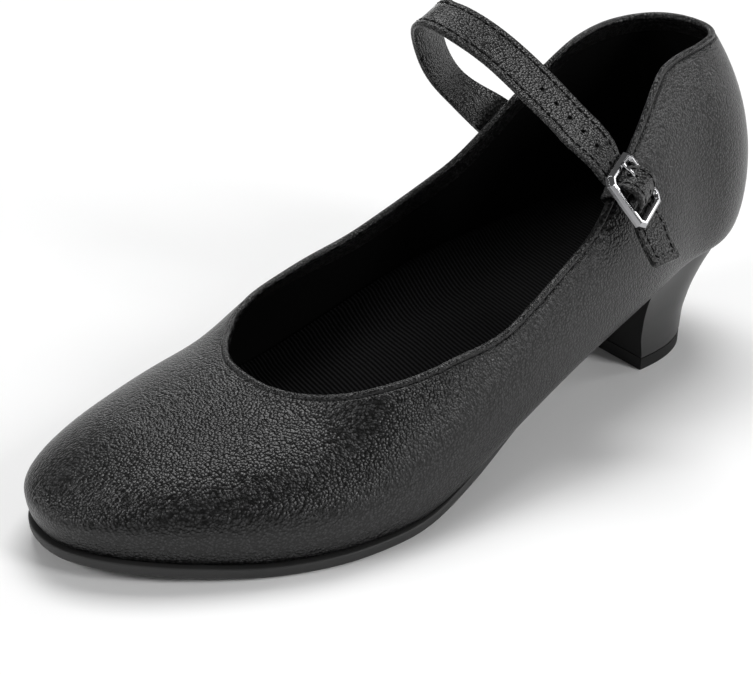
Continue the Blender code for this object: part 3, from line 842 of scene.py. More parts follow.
@dataclass(frozen=True)
class RibbedCloth:
    """Black lining cloth with fine ribs that run across the shoe."""

    name: str = "ribbed_lining"
    rib: float = 1.15 * MM
    # dark is the painted shade in the valleys between the ribs, light the rib tops
    dark: tuple[float, float, float] = (0.0, 0.0, 0.0)
    light: tuple[float, float, float] = (0.0105, 0.0105, 0.0110)
    strength: float = 0.9
    depth: float = 0.30 * MM
    roughness: float = 0.92
    specular: float = 0.06

    def material(self) -> bpy.types.Material:
        """Wires the cloth: swaying ribs with a little knit between them, coloured darker in the rib valleys
        as painted shade.

        Returns:
            The material.
        """
        w = Wiring(self.name)
        parts = w.add("ShaderNodeSeparateXYZ", {"Vector": w.place})
        sway = w.math("MULTIPLY", w.math("SUBTRACT", w.noise(60.0, 1.0), 0.5), 0.9 * self.rib)
        lean = w.math("ADD", parts.outputs["Y"], w.math("MULTIPLY", parts.outputs["X"], 0.10))
        turn = w.math("MULTIPLY", w.math("ADD", lean, sway), 2.0 * math.pi / self.rib)
        wave = w.math("ADD", w.math("MULTIPLY", w.math("SINE", turn), 0.5), 0.5)
        knit = w.noise(1400.0, 1.0, 0.5)
        height = w.math("ADD", w.math("MULTIPLY", wave, 0.8), w.math("MULTIPLY", knit, 0.35))
        # painted shade: the valleys between the ribs are coloured darker, and the knit adds random tone
        painted_shading = w.add("ShaderNodeMapRange", {"Value": height, "From Min": 0.25, "From Max": 0.95})
        colour = w.tint(painted_shading.outputs["Result"], self.dark, self.light)
        normal = w.bump(height, self.strength, self.depth)
        return w.finish(colour, self.roughness, normal, Specular_IOR_Level=self.specular)


@dataclass(frozen=True)
class PlainFinish:
    """A plain dark or metal finish with fine mottling."""

    name: str
    dark: tuple[float, float, float]
    light: tuple[float, float, float]
    roughness: tuple[float, float]
    grain: float = 900.0
    depth: float = 0.03 * MM
    metallic: float = 0.0
    specular: float = 0.5

    def material(self) -> bpy.types.Material:
        """Wires the finish.

        Returns:
            The material.
        """
        w = Wiring(self.name)
        fine = w.noise(self.grain, 3.0, 0.6)
        broad = w.noise(70.0, 3.0, 0.5)
        colour = w.tint(broad, self.dark, self.light)
        wear = w.math("ADD", w.math("MULTIPLY", broad, 0.5), w.math("MULTIPLY", fine, 0.5))
        rough = w.between(wear, *self.roughness)
        normal = w.bump(fine, 0.5, self.depth)
        return w.finish(colour, rough, normal, Metallic=self.metallic, Specular_IOR_Level=self.specular)


class GeometryTree:
    """A Geometry Nodes tree that lays small parts, or a section, along a path."""

    def __init__(self, name: str, inputs: dict[str, tuple[str, float | int]]) -> None:
        """Starts a tree with a geometry input, named sizes and a finish.

        Args:
            name: the tree's name.
            inputs: the socket type and value of each named input.
        """
        self.tree = bpy.data.node_groups.new(name, "GeometryNodeTree")
        face = self.tree.interface
        face.new_socket("Geometry", in_out="INPUT", socket_type="NodeSocketGeometry")
        self.identifiers: dict[str, str] = {}
        for label, (kind, value) in inputs.items():
            socket = face.new_socket(label, in_out="INPUT", socket_type=kind)
            socket.default_value = value
            self.identifiers[label] = socket.identifier
        finish = face.new_socket("Finish", in_out="INPUT", socket_type="NodeSocketMaterial")
        self.identifiers["Finish"] = finish.identifier
        face.new_socket("Geometry", in_out="OUTPUT", socket_type="NodeSocketGeometry")
        self.source = self.tree.nodes.new("NodeGroupInput")
        self.result = self.tree.nodes.new("NodeGroupOutput")

    def add(self, kind: str, inputs: dict[str, object] | None = None, **settings: object) -> bpy.types.Node:
        """Adds a node.

        Args:
            kind: the node's type.
            inputs: sockets or values for its inputs, by name.
            settings: its own properties.

        Returns:
            The node.
        """
        node = self.tree.nodes.new(kind)
        for key, value in settings.items():
            setattr(node, key, value)
        for key, value in (inputs or {}).items():
            if isinstance(value, bpy.types.NodeSocket):
                self.tree.links.new(value, node.inputs[key])
            else:
                node.inputs[key].default_value = value
        return node

    def close(self, geometry: bpy.types.NodeSocket) -> None:
        """Ends the tree: instances are made real, then given their finish.

        Args:
            geometry: what the tree has made.
        """
        real = self.add("GeometryNodeRealizeInstances", {"Geometry": geometry})
        shaded = self.add("GeometryNodeSetShadeSmooth", {"Geometry": real.outputs["Geometry"]})
        inputs = {"Geometry": shaded.outputs["Geometry"], "Material": self.source.outputs["Finish"]}
        finished = self.add("GeometryNodeSetMaterial", inputs)
        self.tree.links.new(finished.outputs["Geometry"], self.result.inputs[0])

    def run(
        self, name: str, paths: Sequence[Points], closed: bool, values: dict[str, object]
    ) -> bpy.types.Object:
        """Runs the tree on paths and keeps the result as a plain mesh.

        Args:
            name: the new piece's name.
            paths: rows of points, one for each path.
            closed: whether each path joins its own start.
            values: the tree's inputs, by name.

        Returns:
            The piece.
        """
        mesh = bpy.data.meshes.new(name)
        points: list[list[float]] = []
        edges: list[tuple[int, int]] = []
        for path in paths:
            first = len(points)
            points += np.asarray(path, float).tolist()
            edges += [(first + k, first + k + 1) for k in range(len(path) - 1)]
            if closed:
                edges.append((len(points) - 1, first))
        mesh.from_pydata(points, edges, [])
        piece = bpy.data.objects.new(name, mesh)
        bpy.context.scene.collection.objects.link(piece)
        modifier = piece.modifiers.new(name, "NODES")
        modifier.node_group = self.tree
        for label, value in values.items():
            modifier[self.identifiers[label]] = value
        return apply_modifiers(piece)


def stitch_tree() -> GeometryTree:
    """Builds the tree that sets thread stitches at an even pitch along paths.

    Returns:
        The tree.
    """
    sizes = {
        "Pitch": ("NodeSocketFloat", 2.6 * MM),
        "Length": ("NodeSocketFloat", 1.9 * MM),
        "Width": ("NodeSocketFloat", 0.5 * MM),
        "Seed": ("NodeSocketInt", 7),
    }
    tree = GeometryTree("stitches", sizes)
    given = tree.source.outputs
    curve = tree.add("GeometryNodeMeshToCurve", {"Mesh": given["Geometry"]})
    inputs = {"Curve": curve.outputs["Curve"], "Length": given["Pitch"]}
    spots = tree.add("GeometryNodeCurveToPoints", inputs, mode="LENGTH")
    turn = tree.add("FunctionNodeAlignRotationToVector", {"Vector": spots.outputs["Tangent"]}, axis="Z")
    ball = tree.add("GeometryNodeMeshUVSphere", {"Segments": 8, "Rings": 6, "Radius": 0.5})
    size = tree.add("ShaderNodeCombineXYZ", {"X": given["Width"], "Y": given["Width"], "Z": given["Length"]})
    inputs = {"Geometry": ball.outputs["Mesh"], "Scale": size.outputs["Vector"]}
    thread = tree.add("GeometryNodeTransform", inputs)
    vary = tree.add("FunctionNodeRandomValue", {"Seed": given["Seed"]}, data_type="FLOAT")
    vary.inputs[2].default_value = 0.88
    vary.inputs[3].default_value = 1.06
    inputs = {
        "Points": spots.outputs["Points"],
        "Instance": thread.outputs["Geometry"],
        "Rotation": turn.outputs["Rotation"],
        "Scale": vary.outputs[1],
    }
    tree.close(tree.add("GeometryNodeInstanceOnPoints", inputs).outputs["Instances"])
    return tree


def rod_tree() -> GeometryTree:
    """Builds the tree that bends a round rod along paths.

    Returns:
        The tree.
    """
    tree = GeometryTree("rods", {"Radius": ("NodeSocketFloat", 0.5 * MM), "Sides": ("NodeSocketInt", 10)})
    given = tree.source.outputs
    curve = tree.add("GeometryNodeMeshToCurve", {"Mesh": given["Geometry"]})
    inputs = {"Resolution": given["Sides"], "Radius": given["Radius"]}
    circle = tree.add("GeometryNodeCurvePrimitiveCircle", inputs)
    inputs = {"Curve": curve.outputs["Curve"], "Profile Curve": circle.outputs["Curve"], "Fill Caps": True}
    tree.close(tree.add("GeometryNodeCurveToMesh", inputs).outputs["Mesh"])
    return tree


@dataclass
class Finishes:
    """Every finish of the shoe, made once."""

    leather: bpy.types.Material = field(init=False)
    strap_leather: bpy.types.Material = field(init=False)
    facing: bpy.types.Material = field(init=False)
    lining: bpy.types.Material = field(init=False)
    insole: bpy.types.Material = field(init=False)
    rubber: bpy.types.Material = field(init=False)
    lacquer: bpy.types.Material = field(init=False)
    breast: bpy.types.Material = field(init=False)
    top_piece: bpy.types.Material = field(init=False)
    metal: bpy.types.Material = field(init=False)
    thread: bpy.types.Material = field(init=False)
    edge: bpy.types.Material = field(init=False)

    def __post_init__(self) -> None:
        """Makes the materials."""
        self.leather = PebbledLeather(back_seam=True).material()
        self.strap_leather = PebbledLeather(
            "strap_leather", light=grey(0.058), pebble=0.72 * MM, depth=0.28 * MM
        ).material()
        self.facing = PebbledLeather(
            "facing_leather", dark=grey(0.003), light=grey(0.034), depth=0.14 * MM
        ).material()
        self.lining = PlainFinish(
            "wall_lining", grey(0.0008), grey(0.0022), (0.9, 1.0), grain=2600.0, specular=0.1
        ).material()
        self.insole = RibbedCloth("insole_cloth").material()
        self.rubber = PlainFinish(
            "sole_edge", grey(0.016), grey(0.026), (0.5, 0.65), depth=0.05 * MM
        ).material()
        self.lacquer = PlainFinish(
            "heel_cover", grey(0.014), grey(0.022), (0.34, 0.46), depth=0.04 * MM
        ).material()
        self.breast = PlainFinish(
            "heel_breast", grey(0.003), grey(0.006), (0.6, 0.75), specular=0.25
        ).material()
        self.top_piece = PlainFinish(
            "top_piece_rubber", grey(0.004), grey(0.008), (0.6, 0.72), specular=0.3
        ).material()
        self.metal = PlainFinish(
            "dark_nickel",
            (0.34, 0.34, 0.35),
            (0.42, 0.42, 0.43),
            (0.05, 0.11),
            depth=0.004 * MM,
            metallic=1.0,
        ).material()
        self.thread = PlainFinish(
            "black_thread", grey(0.0), grey(0.002), (0.6, 0.75), grain=3000.0, specular=0.1
        ).material()
        self.edge = PlainFinish(
            "cut_edge", grey(0.012), grey(0.020), (0.5, 0.65), depth=0.05 * MM
        ).material()


@dataclass
class Upper:
    """The hollow upper: leather outside, a folded collar edge, a facing band and a cloth lining."""

    last: Last
    finishes: Finishes
    wall: float = 0.0018
    margin: float = 0.008
    facing_width: float = 7.5 * MM
    facing_step: float = 0.3 * MM
    seam_at: float = 2.0 * MM
    seam_depth: float = 0.36 * MM
    seam_half: float = 0.30 * MM
    bead_at: float = 1.1 * MM
    bead_height: float = 0.18 * MM
    bead_half: float = 0.5 * MM
    groove_at: float = 2.3 * MM
    groove_depth: float = 0.2 * MM
    groove_half: float = 0.25 * MM
    stitched_at: float = 2.35 * MM
    edge_rows: tuple[float, ...] = (7.5, 6.2, 5.0, 4.0, 3.2, 2.7, 2.35, 2.0, 1.7, 1.4, 1.15, 0.9)
    far: float = 1.0
    wall_rows: int = 34
    tuck_rows: int = 9
    tuck_out: float = 0.9 * MM
    set_down: float = 0.75 * MM
    roll_steps: int = 7
    roll_share: float = 0.58
    roll_height: float = 0.9 * MM
    quarter_hollow: float = 0.35 * MM
    back_hollow: float = 0.45 * MM
    edge_splits: int = 14
    edge_tries: int = 90

    def edge_shares(self, distances: Sequence[float]) -> Points:
        """Places up the wall that lie at even distances below the collar's edge.

        Args:
            distances: the distances, in metres.

        Returns:
            One row of shares up the wall for each distance.
        """
        turn, side = self.last.loop()
        edge = self.last.wall(turn, 1.0, side)
        ahead = np.roll(edge, -1, axis=0) - edge
        dense = np.concatenate([edge + ahead * (k / self.edge_splits) for k in range(self.edge_splits)])
        tree = KDTree(len(dense))
        for index, point in enumerate(dense):
            tree.insert(Vector(point), index)
        tree.balance()
        ups = np.linspace(1.0, 0.0, self.edge_tries)
        away = np.array([[tree.find(Vector(p))[2] for p in self.last.wall(turn, up, side)] for up in ups])
        away = np.maximum.accumulate(away, axis=0)
        away[0] = 0.0
        away += np.arange(len(ups))[:, None] * 1e-9
        return np.array([[np.interp(d, away[:, c], ups) for c in range(len(turn))] for d in distances])

    def rows(self) -> tuple[Points, Points]:
        """Rings of the outer skin from the widest line to just under the folded edge.

        Returns:
            The rings, and the distance of each from the collar's edge.
        """
        turn, side = self.last.loop()
        near = np.array(self.edge_rows) * MM
        shares = self.edge_shares(near)
        low = np.linspace(0.0, 1.0, self.wall_rows)[:-1, None] * shares[0]
        ups = np.concatenate([low, shares])
        distance = np.concatenate([np.full(len(low), self.far), near])
        return self.last.wall(turn[None], ups, side[None]), distance

    def tucked_rows(self) -> Points:
        """Rings of the skin that turn under below the widest line, down to the outsole.

        Returns:
            The rings, from the feather edge upwards.
        """
        last = self.last
        quarters = 1.0 - np.arange(self.tuck_rows) / self.tuck_rows
        below = np.array([last.tucked_ring(quarter, -self.tuck_out * quarter**2) for quarter in quarters])
        along = last.along_of(below[..., 1])
        below[..., 2] -= self.set_down * soft_step(along, 0.22, 0.32) * (quarters**3)[:, None]
        return below

    def folded_edge(self, skin: Points, normals: Points) -> list[Points]:
        """The rounded fold over the collar's edge, from the outside inwards.

        Args:
            skin: the outer skin's rings.
            normals: the normals of its top ring.

        Returns:
            The fold's rings.
        """
        top = skin[-1]
        middle = top - normals * self.wall / 2
        run = unit(np.roll(top, -1, axis=0) - np.roll(top, 1, axis=0))
        away = unit(np.cross(run, normals))
        away *= np.sign(np.sum(away * (top - skin[-2]), axis=1))[:, None]
        spread = self.wall * self.roll_share
        roll = []
        for angle in np.linspace(0.12, 0.88, self.roll_steps) * math.pi:
            lift = away * math.sin(angle) * self.roll_height
            roll.append(middle + normals * math.cos(angle) * spread + lift)
        return roll

    def build(self) -> list[bpy.types.Object]:
        """Makes the upper and its collar stitching.

        Returns:
            The pieces.
        """
        last = self.last
        below = self.tucked_rows()
        grid, distance = self.rows()
        whole = np.concatenate([below, grid])
        distance = np.concatenate([np.full(len(below), self.far), distance])
        normals = grid_normals(whole)
        bead = self.bead_height * bump_at(distance, self.bead_at, self.bead_half)
        relief = bead - self.seam_depth * bump_at(distance, self.seam_at, self.seam_half)
        outer = self.creases(whole + normals * relief[:, None, None], normals)
        roll = self.folded_edge(whole, normals[-1])
        depth = np.where(distance < self.facing_width, self.wall + self.facing_step, self.wall)
        groove = self.groove_depth * bump_at(distance, self.groove_at, self.groove_half)
        inner = (whole - normals * (depth + groove)[:, None, None])[::-1]
        under = last.inset_loop(last.loop_section("tuck") * last.ball_width + self.margin)
        under[:, 2] = last.feather_height(last.along_of(under[:, 1]))
        over = under + np.array([0.0, 0.0, self.wall])
        rings = [under, *outer, *roll, *inner, over]
        count = len(under)
        leather_rings = 1 + len(outer) + len(roll)
        facing_rings = leather_rings + int(np.sum(distance <= self.facing_width))
        material_of = []
        for ring in range(len(rings)):
            kind = 0 if ring < leather_rings else 1 if ring < facing_rings - 1 else 2
            material_of += [kind] * count
        finishes = [self.finishes.leather, self.finishes.facing, self.finishes.lining]
        faces = ring_faces(len(rings), count)
        piece = make_object("upper_leather", np.concatenate(rings), faces, finishes, material_of, 75.0)
        settle(piece, ["upper"])
        return [piece, *self.stitching(whole, normals, distance)]

    def creases(self, skin: Points, normals: Points) -> Points:
        """Presses soft hollows into the leather: beside the heel, and down the middle of the back.

        Args:
            skin: the outer skin's rings.
            normals: their normals.

        Returns:
            The rings with the hollows.
        """
        x, y, z = skin[..., 0], skin[..., 1], skin[..., 2]
        quarter = soft_step(z, 0.045, 0.060) * bump_at(y, -0.004, 0.016)
        waves = -self.quarter_hollow * quarter * bump_at(z, 0.078, 0.014)
        back = bump_at(x, 0.0, 0.0045) * soft_step(y, 0.012, 0.026) * soft_step(z, 0.050, 0.078)
        waves += -self.back_hollow * back
        return skin + normals * waves[..., None]

    def stitching(self, skin: Points, normals: Points, distance: Points) -> list[bpy.types.Object]:
        """Makes the stitched line just inside the collar's edge.

        Args:
            skin: the outer skin's rings.
            normals: their normals.
            distance: how far each ring lies from the collar's edge.

        Returns:
            The stitches, as one piece.
        """
        row = int(np.argmin(np.abs(distance - self.stitched_at)))
        inside = skin[row] - normals[row] * (self.wall + self.facing_step + 0.04 * MM)
        values = {"Pitch": 2.4 * MM, "Length": 1.7 * MM, "Width": 0.42 * MM, "Seed": 3}
        values["Finish"] = self.finishes.thread
        piece = stitch_tree().run("collar_stitches", [inside], True, values)
        return [settle(piece)]


@dataclass
class Bottom:
    """The insole, the outsole, the heel and its top piece."""

    last: Last
    finishes: Finishes
    wall: float = 0.0018
    insole_thickness: float = 0.0040
    breast_along: float = 0.2154
    top_piece_thickness: float = 0.0042
    foot_square: float = 2.4
    cup_rise: float = 1.5 * MM
    cup_width: float = 6.5 * MM
    edge_round: float = 0.45 * MM
    arch_rise: float = 6.0 * MM
    arch_width: float = 17.0 * MM
    arch_in: float = 0.35 * MM
    heel_rings: int = 30
    across: int = 28

    def build(self) -> list[bpy.types.Object]:
        """Makes every piece of the bottom."""
        return [self.insole(), self.outsole(), self.heel(), self.top_piece()]

    def insole(self) -> bpy.types.Object:
        """Makes the insole, cupped a little where it meets the walls and raised under the arch.

        Returns:
            The piece.
        """
        last = self.last
        tuck = last.loop_section("tuck") * last.ball_width
        gap = last.clearance
        low_out, low_in = last.two_sides(last.inset_loop(tuck + self.wall + 2 * gap))
        top_out, top_in = last.two_sides(last.inset_loop(0.35 * tuck + self.wall + 2 * gap))
        rings = []
        share = np.linspace(0.0, 1.0, self.across + 1)[:, None]
        edge = np.abs(2 * share[:, 0] - 1)
        for k in range(len(top_out)):
            top = top_out[k] + (top_in[k] - top_out[k]) * share
            width = np.linalg.norm(top_in[k] - top_out[k])
            near = (1.0 - edge) * width / 2
            cup = self.cup_rise * (1.0 - soft_step(near, 0.0, self.cup_width))
            cup -= self.edge_round * bump_at(near, 0.0, 0.8 * MM)
            inner = (1.0 - share[:, 0]) * width
            arch = bump_at(last.along_of(top[:, 1]), 0.40, 0.16)
            arch *= 1.0 - soft_step(inner, 0.0, self.arch_width)
            cup += self.arch_rise * arch
            top[:, 0] -= self.arch_in * arch * soft_step(self.arch_width - inner, 0.0, self.arch_width)
            base = last.feather_height(last.along_of(top[:, 1])) + self.wall + gap
            top[:, 2] = base + self.insole_thickness + cup
            low = low_out[k] + (low_in[k] - low_out[k]) * share[::-1]
            low[:, 2] = last.feather_height(last.along_of(low[:, 1])) + self.wall + gap
            rings.append(np.concatenate([top, low]))
        count = len(rings[0])
        faces = ring_faces(len(rings), count, closed=False)
        piece = make_object("insole_sock", np.concatenate(rings), faces, [self.finishes.insole])
        return settle(piece, ["insole"])

    def slab(
        self,
        name: str,
        levels: Sequence[tuple[Points, Points]],
        finishes: Sequence[bpy.types.Material],
        sharp: float = 45.0,
    ) -> bpy.types.Object:
        """Makes a closed solid of stacked outlines.

        Args:
            name: the piece's name.
            levels: for each outline its outer and its inner side, side by side from end to end.
            finishes: the finish of the sides and caps, then of the end at the breast.
            sharp: the angle from which an edge is sharp.

        Returns:
            The piece.
        """
        count = len(levels[0][0])
        vertices = np.concatenate([np.concatenate([outer, inner]) for outer, inner in levels])
        faces: list[tuple[int, ...]] = []
        kinds: list[int] = []
        for level in range(len(levels)):
            base = 2 * count * level
            for k in range(count - 1):
                if level in (0, len(levels) - 1):
                    faces.append((base + k, base + k + 1, base + count + k + 1, base + count + k))
                    kinds.append(0)
                if level + 1 < len(levels):
                    for row in (base + k, base + count + k):
                        faces.append((row, row + 1, row + 2 * count + 1, row + 2 * count))
                        kinds.append(0)
            if level + 1 < len(levels):
                for row in (base, base + count - 1):
                    faces.append((row, row + count, row + 3 * count, row + 2 * count))
                    kinds.append(len(finishes) - 1)
        return make_object(name, vertices, faces, finishes, kinds, sharp)

    def breast_end(self, side: Points, gap: float) -> Points:
        """The point of one side of an outline at the heel breast, or a gap in front of it."""
        breast = self.last.back_overhang - self.breast_along * self.last.length - gap
        return np.array([[np.interp(-breast, -side[:, 1], side[:, 0]), breast, 0.0]])

    def sole_sides(self, inset: float, gap: float, front: bool) -> list[Points]:
        """Both sides of the sole's outline, on one side of the heel breast.

        Args:
            inset: how far the outline is moved inwards, in metres.
            gap: how far in front of the breast it ends or starts.
            front: whether it is the part in front of the breast, or else the part behind it.

        Returns:
            The outer and the inner side, with as many points each.
        """
        last = self.last
        loop = last.inset_loop(last.loop_section("sole_in") * last.ball_width + inset)
        sides = []
        for side in last.two_sides(loop):
            first = int(np.argmax(last.along_of(side[:, 1]) > self.breast_along + gap / last.length))
            end = self.breast_end(side, gap)
            sides.append(np.concatenate([end, side[first:]] if front else [side[:first], end]))
        shortest = min(len(side) for side in sides)
        return [side[-shortest:] if front else side[:shortest] for side in sides]

    def outsole(self) -> bpy.types.Object:
        """Makes the outsole, with its edge rounded over and a fine line where the upper meets it.

        Returns:
            The piece.
        """
        last = self.last
        profile = (
            (4.0 * MM, 0.15),
            (1.2 * MM, 0.15),
            (0.4 * MM, 0.15),
            (0.08 * MM, 0.19),
            (0.0, 0.30),
            (0.02 * MM, 0.66),
            (0.18 * MM, 0.84),
            (0.6 * MM, 0.97),
            (1.2 * MM, 1.00),
        )
        levels = []
        for inset, down in profile:
            level = []
            for side in self.sole_sides(inset, last.clearance, True):
                side = np.array(side)
                along = last.along_of(side[:, 1])
                top = last.feather_height(along) - last.clearance
                side[:, 2] = top - last.sole_thickness * last.section("sole", along) * down
                level.append(side)
            levels.append(tuple(level))
        piece = self.slab("outsole_edge", levels, [self.finishes.rubber], 60.0)
        return settle(piece, ["outsole"])

    def heel_sides(self, down: float, inset: float) -> list[Points]:
        """Both sides of the heel's outline at one level.

        Args:
            down: the level, as a share of the heel's height below the seat.
            inset: how far the outline is moved inwards, in metres.

        Returns:
            The outer and the inner side.
        """
        sides = self.sole_sides(inset, 0.0, False)
        back = sides[0][0, 1]
        long = back - sides[0][-1, 1]
        columns = ("wide", "long", "set_in")
        wide, deep, shift = (float(table_curve(HEEL_LEVELS, "down", name, down)) for name in columns)
        ring = []
        for side in sides:
            side = np.array(side)
            rounded = side[-1, 0] * closing((side[:, 1] - side[-1, 1]) / long, self.foot_square)
            side[:, 0] = wide * (side[:, 0] * (1.0 - down) + rounded * down)
            side[:, 1] = back - long * shift - (back - side[:, 1]) * deep
            ring.append(side)
        return ring

    def heel(self) -> bpy.types.Object:
        """Makes the curved block heel, satin at its sides and matt at the breast.

        Returns:
            The piece.
        """
        last = self.last
        foot = self.top_piece_thickness + last.clearance
        seat = [
            last.feather_height(last.along_of(side[:, 1])) - last.clearance
            for side in self.sole_sides(0.0, 0.0, False)
        ]
        levels = []
        for down in np.linspace(0.0, 1.0, self.heel_rings):
            lip = 0.25 * MM * (bump_at(down, 0.0, 0.012) + bump_at(down, 1.0, 0.012))
            level = self.heel_sides(down, float(lip))
            for side, top in zip(level, seat):
                side[:, 2] = top * (1.0 - down) + foot * down
            levels.append(tuple(level))
        piece = self.slab("heel_block", levels, [self.finishes.lacquer, self.finishes.breast], 50.0)
        return settle(piece, ["heel"])

    def top_piece(self) -> bpy.types.Object:
        """Makes the wearing piece, with its edges broken.

        Returns:
            The piece.
        """
        levels = []
        for inset, height in ((0.35, 1.0), (0.1, 0.97), (0.1, 0.05), (0.45, 0.0)):
            level = self.heel_sides(1.0, inset * MM)
            for side in level:
                side[:, 2] = height * self.top_piece_thickness
            levels.append(tuple(level))
        piece = self.slab("heel_top_piece", levels, [self.finishes.top_piece], 50.0)
        return settle(piece, ["top_piece"])


@dataclass
class Buckle:
    """The buckle's frame with its pin, and the prong."""

    last: Last
    finishes: Finishes
    centre: tuple[float, float, float] = (0.409, 0.320, 0.936)
    run: tuple[float, float, float] = (0.48, 0.39, -0.79)
    across: tuple[float, float, float] = (-0.44, 0.88, 0.16)
    long: float = 0.0185
    wide: float = 0.0178
    corner: float = 0.0022
    bar_width: float = 0.0025
    bar_depth: float = 0.0022
    pin_radius: float = 0.00075
    prong_radius: float = 0.0006
    bevel_width: float = 0.09 * MM
    bevel_angle: float = 22.0

    def axes(self) -> tuple[Points, Points, Points]:
        """The buckle's own directions.

        Returns:
            The ways down the strap, across it towards the heel, and outwards.
        """
        run = unit(np.array(self.run))
        wide = unit(np.array(self.across) - run * np.dot(self.across, run))
        return run, wide, np.cross(run, wide)

    def place(self, run: float, lift: float, cross: float = 0.0) -> Points:
        """A point at the buckle, from its middle."""
        run_way, wide_way, out_way = self.axes()
        return self.last.place(*self.centre) + run_way * run + out_way * lift + wide_way * cross

    def outline(self, inset: float) -> list[tuple[float, float]]:
        """The frame's rectangle with cut corners.

        Args:
            inset: how far it is moved inwards, in metres.

        Returns:
            Its eight corners, as distances down the strap and across it.
        """
        long, wide = self.long / 2 - inset, self.wide / 2 - inset
        corner = max(self.corner - inset * 0.59, self.corner * 0.3)
        quarter = [(long, wide - corner), (long - corner, wide)]
        half = quarter + [(-run, cross) for run, cross in reversed(quarter)]
        return half + [(-run, -cross) for run, cross in half]

    def build(self) -> list[bpy.types.Object]:
        """Makes the frame with its pin, and the prong.

        Returns:
            The pieces.
        """
        outside = ((0.0, -0.5), (0.0, 0.0), (0.20, 0.36), (0.40, 0.5))
        inside = ((0.68, 0.5), (0.86, 0.36), (1.0, 0.05), (1.0, -0.5))
        rings = []
        for inset, lift in (*outside, *inside):
            outline = self.outline(inset * self.bar_width)
            rings.append([self.place(run, lift * self.bar_depth, cross) for run, cross in outline])
        count = len(rings[0])
        faces = ring_faces(len(rings), count)
        finishes = [self.finishes.metal]
        ring = make_object("buckle_ring", np.concatenate(rings), faces, finishes, sharp=self.bevel_angle)
        bevel = ring.modifiers.new("broken edges", "BEVEL")
        bevel.width = self.bevel_width
        bevel.segments = 2
        bevel.limit_method = "ANGLE"
        bevel.angle_limit = math.radians(self.bevel_angle)
        bevel.harden_normals = True
        apply_modifiers(ring)
        settle(ring, ["buckle_frame"])
        reach = self.wide / 2 - self.bar_width / 2
        pin_path = [self.place(0.0, 0.0, cross) for cross in np.linspace(-reach, reach, 9)]
        rods = rod_tree()
        values = {"Radius": self.pin_radius, "Sides": 16, "Finish": self.finishes.metal}
        pin = settle(rods.run("buckle_pin", [pin_path], False, values))
        return [ring, pin, self.prong(rods)]

    def prong(self, rods: GeometryTree) -> bpy.types.Object:
        """Bends the prong: curled round the pin, up through the strap and down on the front bar.

        Args:
            rods: the tree that bends a rod along a path.

        Returns:
            The piece.
        """
        curl = self.pin_radius + self.last.clearance + self.prong_radius
        rows = [(curl * math.cos(a), curl * math.sin(a)) for a in np.radians(np.arange(-140.0, 91.0, 23.0))]
        rest = self.bar_depth / 2 + self.last.clearance + self.prong_radius
        bar = self.long / 2 - self.bar_width / 2
        rows += [(-1.4 * MM, curl * 0.98), (-2.6 * MM, curl * 1.15)]
        rows += [(-4.2 * MM, rest * 1.25), (-6.0 * MM, rest * 1.25)]
        rows += [(-bar + 0.8 * MM, rest * 1.05), (-bar - 0.6 * MM, rest)]
        places = np.array([self.place(run, lift) for run, lift in rows])
        path = curve_through(places, np.linspace(0.0, 1.0, 70))
        values = {"Radius": self.prong_radius, "Sides": 14, "Finish": self.finishes.metal}
        piece = rods.run("prong_hook", [path], False, values)
        return settle(piece, ["buckle_prong"])


